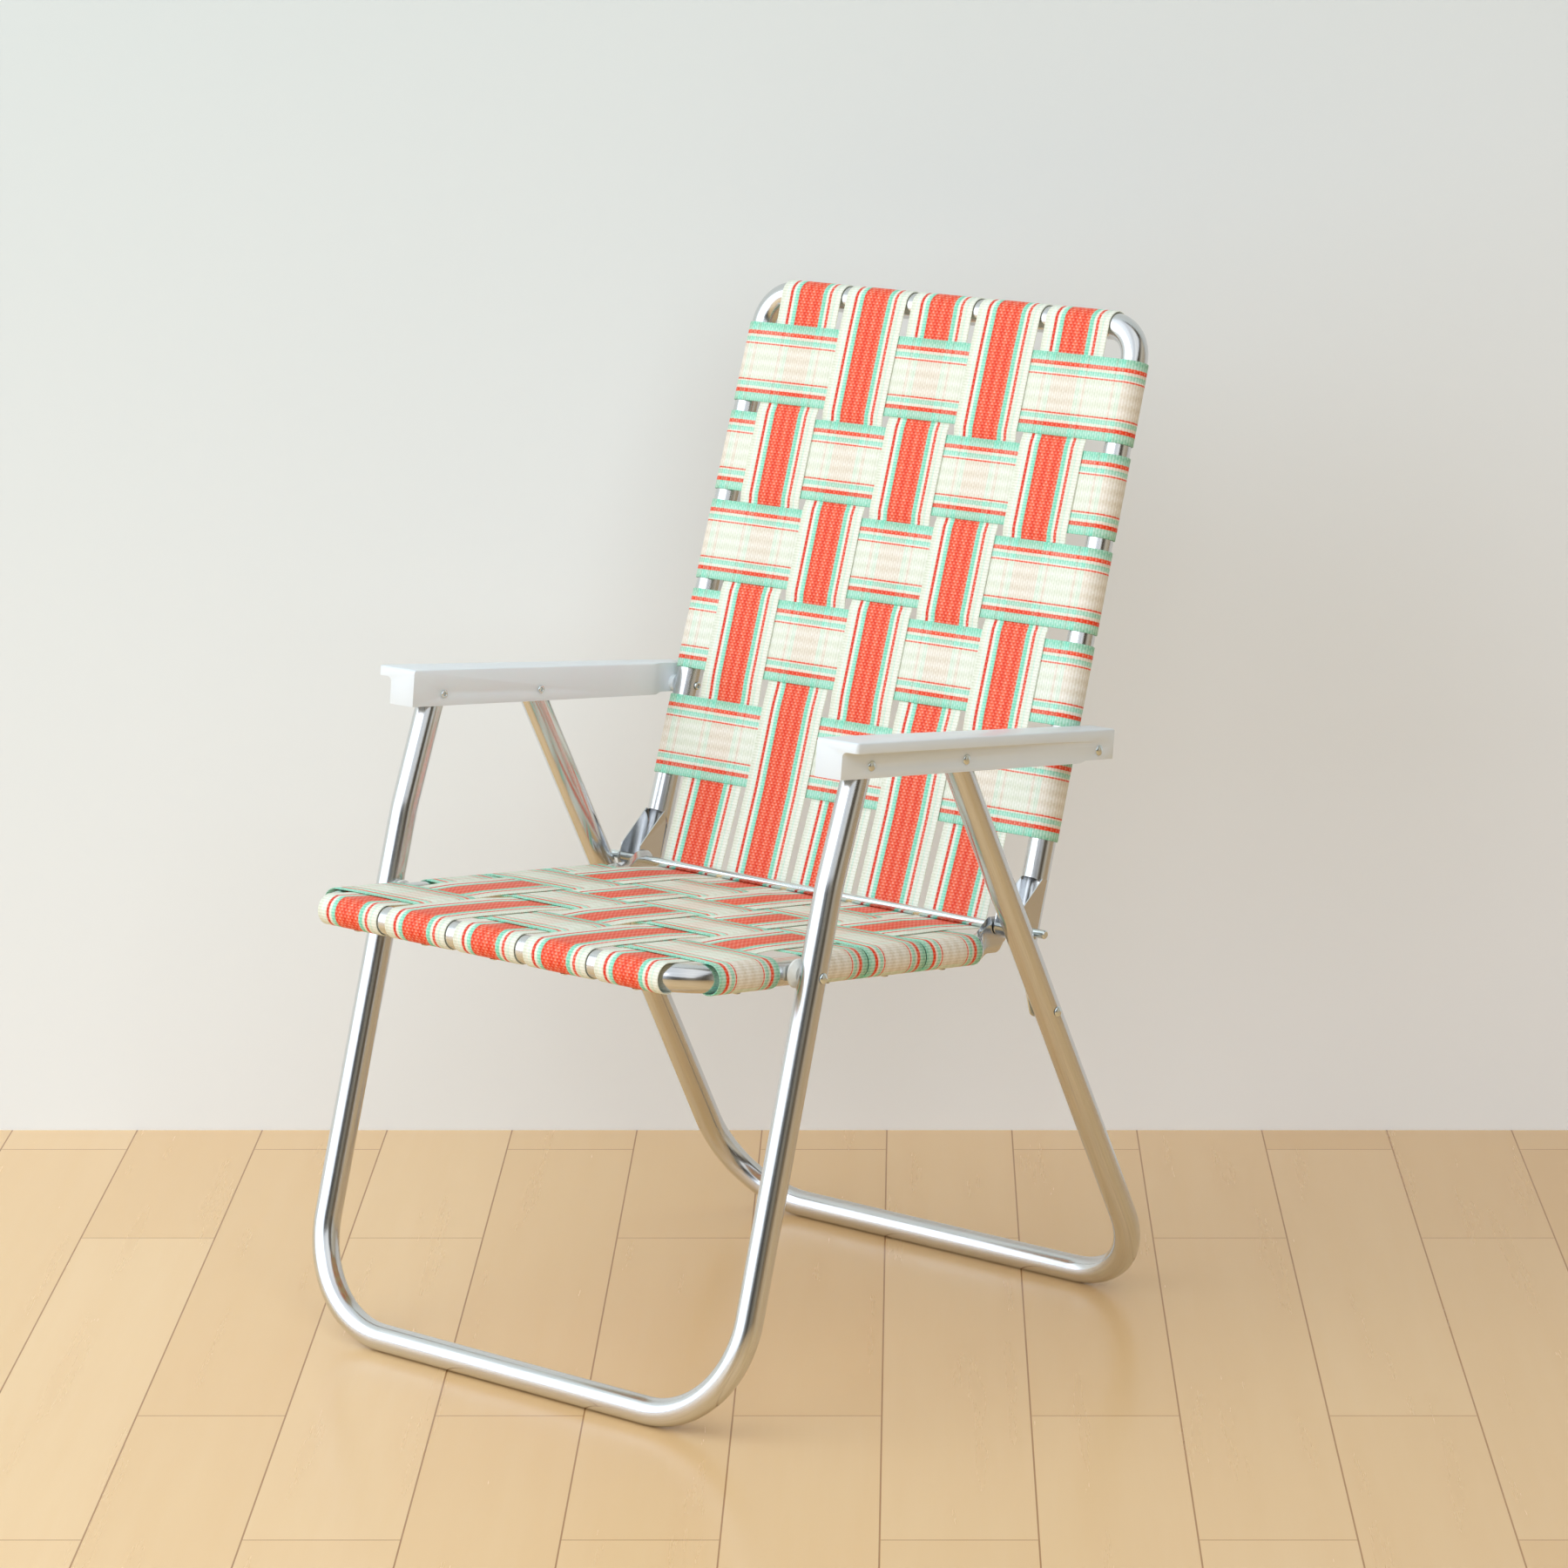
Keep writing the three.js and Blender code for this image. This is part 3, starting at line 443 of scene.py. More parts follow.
# Drawn and polished aluminium tube: bright, with fine lines along its length that streak what it reflects
def drawn_aluminium():
    made, tree = material("drawn aluminium")
    uv = add(tree, "ShaderNodeUVMap").outputs[0]
    space = add(tree, "ShaderNodeTexCoord").outputs["Object"]
    lines = noise(tree, scaled(tree, uv, (1.6, 0.012, 1)), 1.0, 4.0, 0.6)
    haze = noise(tree, space, 9.0, 2.0)
    rough = math_node(tree, "ADD", ranged(tree, lines, 0.12, 0.24), ranged(tree, haze, -0.03, 0.04))
    tone = mix_colour(tree, ranged(tree, lines, 0.0, 1.0), linear("#BFC2C5"), linear("#ECEEEF"))
    bump = add(tree, "ShaderNodeBump", {"Height": lines, "Strength": 0.12, "Distance": 0.0002})
    shader = add(tree, "ShaderNodeBsdfPrincipled", {
        "Base Color": tone,
        "Metallic": 1.0,
        "Roughness": rough,
        "Normal": bump.outputs[0],
    })
    finish_surface(tree, shader.outputs[0])
    return made


# Bright zinc plated steel: faintly blue, slightly clouded by the bath
def zinc_plate():
    made, tree = material("bright zinc plate")
    space = add(tree, "ShaderNodeTexCoord").outputs["Object"]
    cloud = noise(tree, space, 60.0, 3.0, 0.5)
    grain = noise(tree, space, 2400.0, 2.0)
    tone = mix_colour(tree, cloud, linear("#D6E0E2"), linear("#E8EFF0"))
    bump = add(tree, "ShaderNodeBump", {"Height": grain, "Strength": 0.08, "Distance": 0.0002})
    shader = add(tree, "ShaderNodeBsdfPrincipled", {
        "Base Color": tone,
        "Metallic": 1.0,
        "Roughness": ranged(tree, cloud, 0.13, 0.21),
        "Normal": bump.outputs[0],
    })
    finish_surface(tree, shader.outputs[0])
    return made


# Injection moulded white polypropylene: the mould's fine texture spreads its highlights to a satin
def armrest_plastic():
    made, tree = material("satin white plastic")
    space = add(tree, "ShaderNodeTexCoord").outputs["Object"]
    tint = noise(tree, space, 14.0, 3.0)
    pores = noise(tree, space, 1500.0, 2.0)
    tone = mix_colour(tree, tint, linear("#DFE8EE"), linear("#E6EEF1"))
    bump = add(tree, "ShaderNodeBump", {"Height": pores, "Strength": 0.1, "Distance": 0.0002})
    shader = add(tree, "ShaderNodeBsdfPrincipled", {
        "Base Color": tone,
        "Roughness": ranged(tree, tint, 0.3, 0.42),
        "Normal": bump.outputs[0],
        "Subsurface Weight": 0.08,
        "Subsurface Radius": (0.004, 0.004, 0.003),
    })
    finish_surface(tree, shader.outputs[0])
    return made


# Moulded natural nylon: slightly grey, and it lets a little light in at its edges
def nylon():
    made, tree = material("natural nylon")
    space = add(tree, "ShaderNodeTexCoord").outputs["Object"]
    cloud = noise(tree, space, 320.0, 3.0)
    tone = mix_colour(tree, cloud, linear("#D5D8D2"), linear("#E8EAE4"))
    bump = add(tree, "ShaderNodeBump", {"Height": cloud, "Strength": 0.08, "Distance": 0.0002})
    shader = add(tree, "ShaderNodeBsdfPrincipled", {
        "Base Color": tone,
        "Roughness": 0.45,
        "Normal": bump.outputs[0],
        "Subsurface Weight": 0.25,
        "Subsurface Radius": (0.003, 0.003, 0.003),
    })
    finish_surface(tree, shader.outputs[0])
    return made


# Cord colours, then the weave in millimetres across and along a strap
CREAM = linear("#E2E7D7")
RED = linear("#E9522F")
DEEP_RED = linear("#DF422B")
MINT = linear("#8CD9BF")
PALE_MINT = linear("#CBE6D8")
WEFT = linear("#E9EBE0")
CORD = 2.3
RIB = 2.8
COLUMN = 10.9
COLUMN_START = 40.0

LONG_BANDS = (
    (0, CREAM),
    (0.095, PALE_MINT),
    (0.108, CREAM),
    (0.15, DEEP_RED),
    (0.195, CREAM),
    (0.235, MINT),
    (0.3, RED),
    (0.7, MINT),
    (0.765, CREAM),
    (0.805, DEEP_RED),
    (0.85, CREAM),
    (0.905, PALE_MINT),
    (0.918, CREAM),
)
CROSS_BANDS = (
    (0, MINT),
    (0.105, RED),
    (0.155, CREAM),
    (0.19, MINT),
    (0.245, CREAM),
    (0.262, RED),
    (0.28, CREAM),
    (0.72, RED),
    (0.738, CREAM),
    (0.755, MINT),
    (0.81, CREAM),
    (0.845, RED),
    (0.895, MINT),
)


# Woven polypropylene webbing: flat cords along, ribs across, stripes dyed in the cords, a dull shine, and
# painted highlight and shade on the weave's relief.
# The real ribs are 2 mm apart, too fine to show, and are drawn RIB apart.
# UV is millimetres across the strap and along it.
def webbing(name, bands, width, under=None):
    made, tree = material(name)
    uv = add(tree, "ShaderNodeUVMap").outputs[0]
    parts = add(tree, "ShaderNodeSeparateXYZ", {0: uv})
    across, along = parts.outputs[0], parts.outputs[1]
    colour = stripes(tree, math_node(tree, "DIVIDE", across, width), bands)
    if under:
        beneath_bands, pitch, beneath_width = under
        place = math_node(tree, "ADD", along, 1000 * pitch + beneath_width / 2)
        share = math_node(tree, "DIVIDE", math_node(tree, "MODULO", place, pitch), beneath_width)
        colour = mix_colour(tree, 0.13, colour, stripes(tree, share, beneath_bands))
    cord = math_node(tree, "SINE", math_node(tree, "MULTIPLY", across, math.pi / CORD))
    rib = math_node(tree, "SINE", math_node(tree, "MULTIPLY", along, math.pi / RIB))
    over = math_node(tree, "MULTIPLY", cord, rib)
    fine = math_node(tree, "SINE", math_node(tree, "MULTIPLY", along, 2 * math.pi / RIB))
    height = math_node(tree, "MULTIPLY", math_node(tree, "ADD", over, fine), 0.5)
    stitch = add(tree, "ShaderNodeCombineXYZ", {
        0: math_node(tree, "FLOOR", math_node(tree, "DIVIDE", across, CORD)),
        1: math_node(tree, "FLOOR", math_node(tree, "DIVIDE", along, RIB)),
    }).outputs[0]
    dye = add(tree, "ShaderNodeTexWhiteNoise", {0: stitch}, noise_dimensions="2D").outputs[0]
    from_column = math_node(tree, "SUBTRACT", across, COLUMN_START)
    column = math_node(tree, "COSINE", math_node(tree, "MULTIPLY", from_column, 2 * math.pi / COLUMN))
    showing = ranged(tree, math_node(tree, "MULTIPLY", over, 1.6, True), 0.0, 0.17)
    colour = mix_colour(tree, showing, colour, WEFT)
    # Painted highlight and shade: the gamma lightens the cords along the raised columns and rib crests and
    # darkens them between, on top of each stitch's random dye
    column_light_and_shade = math_node(tree, "MULTIPLY", column, 0.17)
    relief_light_and_shade = math_node(tree, "ADD", column_light_and_shade, math_node(tree, "MULTIPLY", fine, 0.2))
    dye_and_painted_relief = math_node(tree, "SUBTRACT", ranged(tree, dye, 0.92, 1.1), relief_light_and_shade)
    colour = add(tree, "ShaderNodeGamma", {0: colour, 1: dye_and_painted_relief}).outputs[0]
    uneven = noise(tree, scaled(tree, uv, (0.35, 0.05, 1)), 1.0, 3.0)
    worn = ranged(tree, uneven, 0.96, 1.04)
    # Painted shade: darker where the weave sinks and lighter where it rises, together with a random
    # unevenness along the strap
    unevenness_and_relief_shade = math_node(tree, "ADD", worn, math_node(tree, "MULTIPLY", height, 0.05))
    toned = add(tree, "ShaderNodeVectorMath", {0: colour}, operation="SCALE")
    tree.links.new(unevenness_and_relief_shade, toned.inputs["Scale"])
    bump = add(tree, "ShaderNodeBump", {"Height": height, "Strength": 0.35, "Distance": 0.0003})
    shader = add(tree, "ShaderNodeBsdfPrincipled", {
        "Base Color": toned.outputs[0],
        "Roughness": 0.5,
        "Specular IOR Level": 0.25,
        "Normal": bump.outputs[0],
    })
    finish_surface(tree, shader.outputs[0])
    return made


ALUMINIUM = drawn_aluminium()
ZINC = zinc_plate()
PLASTIC = armrest_plastic()
NYLON = nylon()
LONG_WEBBING = webbing("long webbing", LONG_BANDS, LONG_WIDTH)
CROSS_WEBBING = webbing("cross webbing", CROSS_BANDS, CROSS_WIDTH, (LONG_BANDS, LONG_PITCH, LONG_WIDTH))


def dress(piece, body, slot, finish, *nodes):
    """Gives a piece its material and its body, and hides the CAD nodes that it stands for; slot is not used.
    """
    piece.data.materials.clear()
    piece.data.materials.append(finish)
    if nodes:
        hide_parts(*nodes)
    if body:
        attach(piece, body)
    return piece


def aluminium(piece, body, *nodes):
    return dress(piece, body, "aluminium_tube", ALUMINIUM, *nodes)


def zinc(piece, body, *nodes):
    return dress(piece, body, "zinc_steel", ZINC, *nodes)


# Leg frames


def u_corners(side):
    """A frame's corners from one side function, which takes the sign of X."""
    return side(1) + side(-1)[::-1]


def front_side(sign):
    x = sign * LEG_HALF_WIDTH
    knee_depth = (KNEE_HEIGHT - TUBE_AXIS_HEIGHT) * math.tan(FRONT_LEAN)
    top = Vector((
        x,
        ARM_PIVOT[0] + LEG_PAST_PIVOT * math.sin(KNEE_LEAN),
        ARM_PIVOT[1] + LEG_PAST_PIVOT * math.cos(KNEE_LEAN),
    ))
    return [
        (top, 0),
        (Vector((x, knee_depth, KNEE_HEIGHT)), KNEE_RADIUS),
        (Vector((x, 0, TUBE_AXIS_HEIGHT)), FRONT_CORNER),
    ]


def rear_side(sign):
    x = sign * LEG_HALF_WIDTH
    top = Vector((
        x,
        REAR_LEG_PIVOT[0] - LEG_PAST_PIVOT * math.sin(REAR_LEAN),
        REAR_LEG_PIVOT[1] + LEG_PAST_PIVOT * math.cos(REAR_LEAN),
    ))
    return [(top, 0), (Vector((x, FOOT_SPREAD, TUBE_AXIS_HEIGHT)), REAR_CORNER)]


def leg_frames():
    front = tube("front_leg_tube", u_corners(front_side), ROW)
    carve(front, [
        drill(SHANK_RADIUS + FIT, ROW, sign * LEG_HALF_WIDTH, pivot)
        for _, sign in SIDES for pivot in (ARM_PIVOT, SEAT_PIVOT)
    ])
    aluminium(front, "front_legs", "front_leg_frame")
    rear = tube("rear_leg_tube", u_corners(rear_side), ROW)
    carve(rear, [
        drill(SHANK_RADIUS + FIT, ROW, sign * LEG_HALF_WIDTH, pivot)
        for _, sign in SIDES for pivot in (REAR_LEG_PIVOT, LINK_PIVOT)
    ])
    aluminium(rear, "rear_legs", "rear_leg_frame")


# Seat frame


def crush(point, bore):
    """Flattens, insets and raises the rear ends of the seat tube into tabs for the rod."""
    x, y, z = point
    share = smooth((y - (ROD_ALONG_SEAT - TAB_START)) / (TAB_START - TAB_FULL))
    if share == 0:
        return point
    rise = smooth((y - (ROD_ALONG_SEAT - TAB_RISE_START)) / (TAB_RISE_START - TAB_RISE_FULL))
    side = math.copysign(1, x)
    out = abs(x) - SEAT_HALF_WIDTH
    skin = 2 * TUBE_WALL if bore else 0
    angle = math.atan2(z, out)
    near_end = min(1, (ROD_ALONG_SEAT + TAB_PAST_ROD - y) / TAB_PAST_ROD)
    rounding = max(0.45, math.sqrt(max(0, near_end * (2 - near_end))))
    half_flat = (TAB_THICKNESS - skin) / 2
    half_tall = (TAB_HEIGHT - skin) / 2 * rounding
    flat_out = -TAB_INSET + half_flat * min(max(1.9 * math.cos(angle), -1), 1)
    flat_up = half_tall * math.asin(math.sin(angle)) / (math.pi / 2)
    return Vector((
        side * (SEAT_HALF_WIDTH + out + (flat_out - out) * share),
        y,
        z + (flat_up - z) * share + TAB_RISE * rise,
    ))


def seat_side(sign):
    end = ROD_ALONG_SEAT + TAB_PAST_ROD
    start = ROD_ALONG_SEAT - TAB_START
    steps = 36
    rings = [
        (Vector((sign * SEAT_HALF_WIDTH, end - (end - start) * (k / steps) ** 1.3, 0)), 0)
        for k in range(steps + 1)
    ]
    return rings + [(Vector((sign * SEAT_HALF_WIDTH, -SEAT_REACH, 0)), SEAT_CORNER)]


def seat_frame():
    seat = tube("seat_tube", u_corners(seat_side), SEAT, crush)
    holes = []
    for _, sign in SIDES:
        holes.append(drill(SHANK_RADIUS + FIT, SEAT, sign * SEAT_HALF_WIDTH, (0, 0)))
        tab = sign * (SEAT_HALF_WIDTH - TAB_INSET)
        holes.append(drill(ROD_RADIUS + FIT, SEAT, tab, (ROD_ALONG_SEAT, ROD_ABOVE_SEAT), 6))
    carve(seat, holes)
    return aluminium(seat, "seat", "seat_frame")


# Back frame


def flange_outline():
    rear = BACK_BEHIND_ROD + FLANGE_BACK_STEP
    nose = arc((0, 0), FLANGE_NOSE, -math.pi / 2, -math.pi / 2, 10)
    start = Vector((-FLANGE_NOSE, FLANGE_SHOULDER))
    middle = Vector((0, LIP_HEIGHT / 2))
    end = Vector((BACK_BEHIND_ROD - TUBE_RADIUS / 2, LIP_HEIGHT))
    curve = []
    for k in range(13):
        t = k / 12
        curve.append(tuple(start * (1 - t) ** 2 + middle * 2 * t * (1 - t) + end * t * t))
    return [(rear, LIP_HEIGHT), (rear, -FLANGE_NOSE)] + nose + curve


def follow_taper(piece, middle):
    """Draws a plate in so that it follows the narrowing side tubes."""
    away = BACK.inverted()
    for vertex in piece.data.vertices:
        local = away @ (vertex.co / MM)
        local.x += math.copysign(back_side_at(local.z) - back_side_at(0), middle)
        vertex.co = (BACK @ local) * MM


def back_side(sign):
    return [
        (Vector((sign * back_side_at(-FLANGE_NOSE), BACK_BEHIND_ROD, -FLANGE_NOSE)), 0),
        (Vector((sign * back_side_at(BACK_HEIGHT), BACK_BEHIND_ROD, BACK_HEIGHT)), BACK_CORNER),
    ]


def back_frame():
    back = tube("back_tube", u_corners(back_side), BACK)
    openings = []
    for _, sign in SIDES:
        reach = TUBE_RADIUS + 2
        front = BACK_BEHIND_ROD - 2 * TUBE_RADIUS
        outline = [(front, -20), (BACK_BEHIND_ROD, -20)]
        outline += arc((BACK_BEHIND_ROD - reach, LIP_HEIGHT - reach), reach, 0, math.pi / 2, 12)
        outline.append((front, LIP_HEIGHT))
        openings.append(plate("cutter", outline, 2 * reach, BACK, sign * back_side_at(0)))
    carve(back, openings)
    flanges = []
    for _, sign in SIDES:
        for edge in (-1, 1):
            x = sign * back_side_at(0) + edge * (TUBE_RADIUS - TUBE_WALL / 2)
            flange = plate("flange", flange_outline(), TUBE_WALL, BACK, x)
            follow_taper(flange, sign)
            flanges.append(flange)
    carve(back, flanges, "UNION")
    holes = []
    for _, sign in SIDES:
        holes.append(drill(ROD_RADIUS + FIT, BACK, sign * back_side_at(0), (0, 0)))
        pivot = (BACK_BEHIND_ROD, BACK_PIVOT_UP)
        holes.append(drill(SHANK_RADIUS + FIT, BACK, sign * back_side_at(BACK_PIVOT_UP), pivot))
    carve(back, holes)
    return aluminium(back, "back", "back_frame")


# Webbing


def ribbon(name, line, across, width, place, middle=0.0, taper=None):
    """A strap with rounded edges along a line of points. UV is millimetres across and along."""
    half = width / 2
    thick = WEB / 2
    section = [(half, 0), (half - 0.2, 0.7 * thick), (half - 0.7, thick)]
    section = section + [(-s, n) for s, n in reversed(section)]
    section = section + [(s, -n) for s, n in reversed(section[1:-1])]
    count = len(section)
    run = [0.0]
    for i in range(1, len(line)):
        run.append(run[-1] + (line[i] - line[i - 1]).length)
    points, faces, coords = [], [], []
    for i, at in enumerate(line):
        before = line[max(i - 1, 0)]
        after = line[min(i + 1, len(line) - 1)]
        along = (after - before).normalized()
        normal = across.cross(along)
        for s, n in section:
            point = at + across * s + normal * n
            points.append(taper(point) if taper else point)
    for i in range(len(line) - 1):
        for k in range(count):
            after = (k + 1) % count
            face = [i * count + k, i * count + after, (i + 1) * count + after, (i + 1) * count + k]
            faces.append(face[::-1])
            u0, u1 = section[k][0] + half, section[after][0] + half
            v0, v1 = run[i] - run[-1] * middle, run[i + 1] - run[-1] * middle
            coords.append([(u0, v1), (u1, v1), (u1, v0), (u0, v0)])
    for start, flip in ((0, False), ((len(line) - 1) * count, True)):
        face = [start + k for k in range(count)]
        faces.append(face[::-1] if flip else face)
        v = run[-1] * (1 - middle) if flip else -run[-1] * middle
        corner = [(s + half, v) for s, _ in section]
        coords.append(corner[::-1] if flip else corner)
    piece = piece_of(name, points, faces, place, coords, 50)
    return piece, run[-1]


def weave(centres, width, over):
    """Height along a strap as it passes over and under the straps that cross it, as (along, height)."""
    line = []
    levels = [WEB_RADIUS + (WEAVE_RISE if over(i) else -WEAVE_RISE) for i in range(len(centres))]
    for i, centre in enumerate(centres):
        line += [(centre - width / 2, levels[i]), (centre, levels[i]), (centre + width / 2, levels[i])]
        if i + 1 < len(centres):
            start, end = centre + width / 2, centres[i + 1] - width / 2
            for k in range(1, 6):
                share = k / 6
                height = levels[i] + (levels[i + 1] - levels[i]) * smooth(share)
                line.append((start + (end - start) * share, height))
    return line


def cross_over(row, column):
    return (row + column) % 2 == 0


LONG_CENTRES = [(i - (LONG_COUNT - 1) / 2) * LONG_PITCH for i in range(LONG_COUNT)]


def long_strap_line(column):
    """One long strap's line in the sketch: round the front bar, over the seat, under the rod, up the back."""
    front = arc((-SEAT_REACH, 0), WEB_RADIUS, math.pi / 2 + HOOK, -HOOK, WRAP_STEPS)
    seat = front + weave(SEAT_ROWS, CROSS_WIDTH, lambda i: not cross_over(i, column))
    line = [SEAT @ Vector((0, *p)) for p in seat]
    wrap = arc((0, 0), ROD_RADIUS + FIT + WEB / 2, -math.pi / 2 - SEAT_TURN,
               math.pi / 2 + SEAT_TURN - BACK_TURN, ROD_WRAP_STEPS)
    line += [ROW @ Vector((0, ROD[0] + y, ROD[1] + z)) for y, z in wrap]
    rising = BACK_ROWS[::-1]
    last = len(BACK_ROWS) - 1
    back = weave(rising, CROSS_WIDTH, lambda i: not cross_over(last - i, column))
    back += arc((BACK_HEIGHT, 0), WEB_RADIUS, math.pi / 2, -HOOK, WRAP_STEPS)
    line += [BACK @ Vector((0, BACK_BEHIND_ROD - forward, up)) for up, forward in back]
    return line


def spread_at(along):
    """The long straps stand a little further apart towards the front bar."""
    share = (ROD_ALONG_SEAT - along) / (ROD_ALONG_SEAT + SEAT_REACH)
    return 1 + FRONT_SPREAD * min(max(share, 0), 1)


def long_straps():
    for column, x in enumerate(LONG_CENTRES):
        line = [
            p + Vector((x * spread_at((SEAT.inverted() @ p).y), 0, 0)) for p in long_strap_line(column)
        ]
        number = column + 1
        piece, length = ribbon(
            f"long_web_{number}", line, Vector((1, 0, 0)), LONG_WIDTH, Matrix.Identity(4)
        )
        nodes = (f"seat_long_web_{number}", f"back_long_web_{number}")
        dress(piece, None, "long_webbing", LONG_WEBBING, *nodes)
        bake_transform(piece)


def cross_strap_line(row, half_width, spread=1.0):
    hooks = [
        arc((sign * half_width, 0), WEB_RADIUS, math.pi / 2, -sign * HOOK, WRAP_STEPS)
        for sign in (-1, 1)
    ]
    centres = [x * spread for x in LONG_CENTRES]
    return hooks[0][::-1] + weave(centres, LONG_WIDTH, lambda i: cross_over(row, i)) + hooks[1]


def cross_straps():
    across = Vector((0, 1, 0))
    for row, along in enumerate(SEAT_ROWS):
        line = [
            Vector((x, along, z)) for x, z in cross_strap_line(row, SEAT_HALF_WIDTH, spread_at(along))
        ]
        number = row + 1
        piece, length = ribbon(f"seat_cross_web_{number}_strap", line, -across, CROSS_WIDTH, SEAT, 0.5)
        dress(piece, "seat", "cross_webbing", CROSS_WEBBING, f"seat_cross_web_{number}")
    for row, up in enumerate(BACK_ROWS):
        half_width = back_side_at(up)

        def narrow(point, half_width=half_width):
            return Vector((point.x * back_side_at(point.z) / half_width, point.y, point.z))

        line = [
            Vector((x, BACK_BEHIND_ROD - forward, up)) for x, forward in cross_strap_line(row, half_width)
        ]
        number = row + 1
        piece, length = ribbon(
            f"back_cross_web_{number}_strap", line, Vector((0, 0, -1)), CROSS_WIDTH, BACK, 0.5, narrow
        )
        dress(piece, "back", "cross_webbing", CROSS_WEBBING, f"back_cross_web_{number}")


# Hardware


def rivet(node, body, start, end, head, tail, place, where, sign):
    """A semi-tubular rivet: a domed head at the outer end, a rolled tail at the inner end, or flat cuts."""
    profile = []
    if head:
        for k in range(9):
            angle = k * math.pi / 16
            profile.append((end + HEAD_HEIGHT * math.cos(angle) ** 1.2, HEAD_RADIUS * math.sin(angle)))
        profile[0] = (end + HEAD_HEIGHT, 0)
        profile[-1] = (end, HEAD_RADIUS)
    else:
        profile.append((end, 0))
    profile += [(end, SHANK_RADIUS), (start, SHANK_RADIUS)]
    if tail:
        hollow = 1.5
        middle = (TAIL_RADIUS + hollow) / 2
        profile.append((start, TAIL_RADIUS))
        for k in range(1, 9):
            angle = k * math.pi / 9
            profile.append((
                start - TAIL_HEIGHT * math.sin(angle),
                middle + (TAIL_RADIUS - middle) * math.cos(angle),
            ))
        profile += [(start + 0.4, hollow), (start + 0.8, 0)]
    else:
        profile.append((start, 0))
    piece = lathe(f"{node}_turned", profile, place, where, sign)
    zinc(piece, body, node)


def rivets():
    inner = LEG_HALF_WIDTH - ARM_HALF - FIT
    outer = LEG_HALF_WIDTH + ARM_HALF + FIT
    leg_outer = LEG_HALF_WIDTH + TUBE_RADIUS + FIT
    seat_inner = SEAT_HALF_WIDTH - TUBE_RADIUS - FIT
    side = back_side_at(BACK_PIVOT_UP)
    span = math.dist(ROD, LINK_PIVOT)
    arm_to_rear = math.dist(ARM_PIVOT, REAR_LEG_PIVOT)
    back_at = BACK @ Vector((0, BACK_BEHIND_ROD, BACK_PIVOT_UP))
    arm_at = ARMS.inverted() @ back_at
    for word, sign in SIDES:
        rivet(f"seat_pivot_rivet_{word}", "front_legs", seat_inner, leg_outer, True, True,
              ROW, SEAT_PIVOT, sign)
        rivet(f"arm_front_rivet_{word}", "armrests", inner, outer, True, True, ARMS, (0, 0), sign)
        rivet(f"arm_rear_rivet_{word}", "armrests", inner, outer, True, True, ARMS, (arm_to_rear, 0), sign)
        rivet(f"back_rivet_outer_{word}", "armrests", side + TUBE_RADIUS + FIT, outer, True, False,
              ARMS, (arm_at.y, 0), sign)
        rivet(f"back_rivet_inner_{word}", "back", side - TUBE_RADIUS - FIT, side + TUBE_RADIUS, False, True,
              BACK, (BACK_BEHIND_ROD, BACK_PIVOT_UP), sign)
        rivet(f"link_rivet_outer_{word}", "rear_legs", LINK_OUTER + FIT, leg_outer, True, False,
              ROW, LINK_PIVOT, sign)
        rivet(f"link_rivet_inner_{word}", "links", LINK_INNER - FIT, LINK_OUTER, False, True,
              LINKS, (span, 0), sign)


def rod():
    half = LINK_OUTER + ROD_PAST_LINK
    chamfer = 1.0
    profile = [(half, 0), (half, ROD_RADIUS - chamfer), (half - chamfer, ROD_RADIUS)]
    profile += [(half * k / 6, ROD_RADIUS) for k in range(5, -6, -1)]
    profile += [(chamfer - half, ROD_RADIUS), (-half, ROD_RADIUS - chamfer), (-half, 0)]
    piece = lathe("rod_bar", profile, SEAT, (ROD_ALONG_SEAT, ROD_ABOVE_SEAT), 1, 40)
    zinc(piece, "seat", "cross_rod")


def spacers():
    start = SEAT_HALF_WIDTH + TUBE_RADIUS + FIT
    end = LEG_HALF_WIDTH - TUBE_RADIUS - FIT
    middle = (start + end) / 2
    bore = SHANK_RADIUS + FIT
    edge = 0.7
    profile = [
        (start, bore),
        (start, SPACER_RADIUS - edge),
        (start + edge, SPACER_RADIUS),
        (middle - edge, SPACER_RADIUS),
        (middle, SPACER_RADIUS - edge),
        (end - edge, SPACER_HUB + edge),
        (end, SPACER_HUB),
        (end, bore),
        (start, bore),
    ]
    for word, sign in SIDES:
        piece = lathe(f"pivot_spacer_{word}", profile[::-1], ROW, SEAT_PIVOT, sign)
        dress(piece, "front_legs", "nylon", NYLON, f"seat_pivot_spacer_{word}")


def links():
    span = math.dist(ROD, LINK_PIVOT)
    outline = arc((0, 0), LINK_WIDTH / 2, math.pi / 2, math.pi, 20)
    outline += arc((span, 0), LINK_WIDTH / 2, -math.pi / 2, math.pi, 20)
    for word, sign in SIDES:
        x = sign * (LINK_INNER + LINK_THICKNESS / 2)
        piece = plate(f"link_plate_{word}", outline, LINK_THICKNESS, LINKS, x)
        bevel(piece, 0.35, 2)
        carve(piece, [
            drill(ROD_RADIUS + FIT, LINKS, x, (0, 0)),
            drill(SHANK_RADIUS + FIT, LINKS, x, (span, 0)),
        ])
        zinc(piece, "links", f"link_{word}")


def armrests():
    for word, _ in SIDES:
        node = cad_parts[f"armrest_{word}"]
        bpy.context.view_layer.update()
        mesh = node.data.copy()
        mesh.transform(node.matrix_world)
        piece = bpy.data.objects.new(f"armrest_moulding_{word}", mesh)
        bpy.context.scene.collection.objects.link(piece)
        weld = piece.modifiers.new("weld", "WELD")
        weld.merge_threshold = 0.00002
        flat = piece.modifiers.new("flat", "DECIMATE")
        flat.decimate_type = "DISSOLVE"
        flat.angle_limit = math.radians(1)
        apply_modifiers(piece)
        bevel(piece, 0.5, 2, 50)
        dress(piece, "armrests", "armrest_plastic", PLASTIC, f"armrest_{word}")


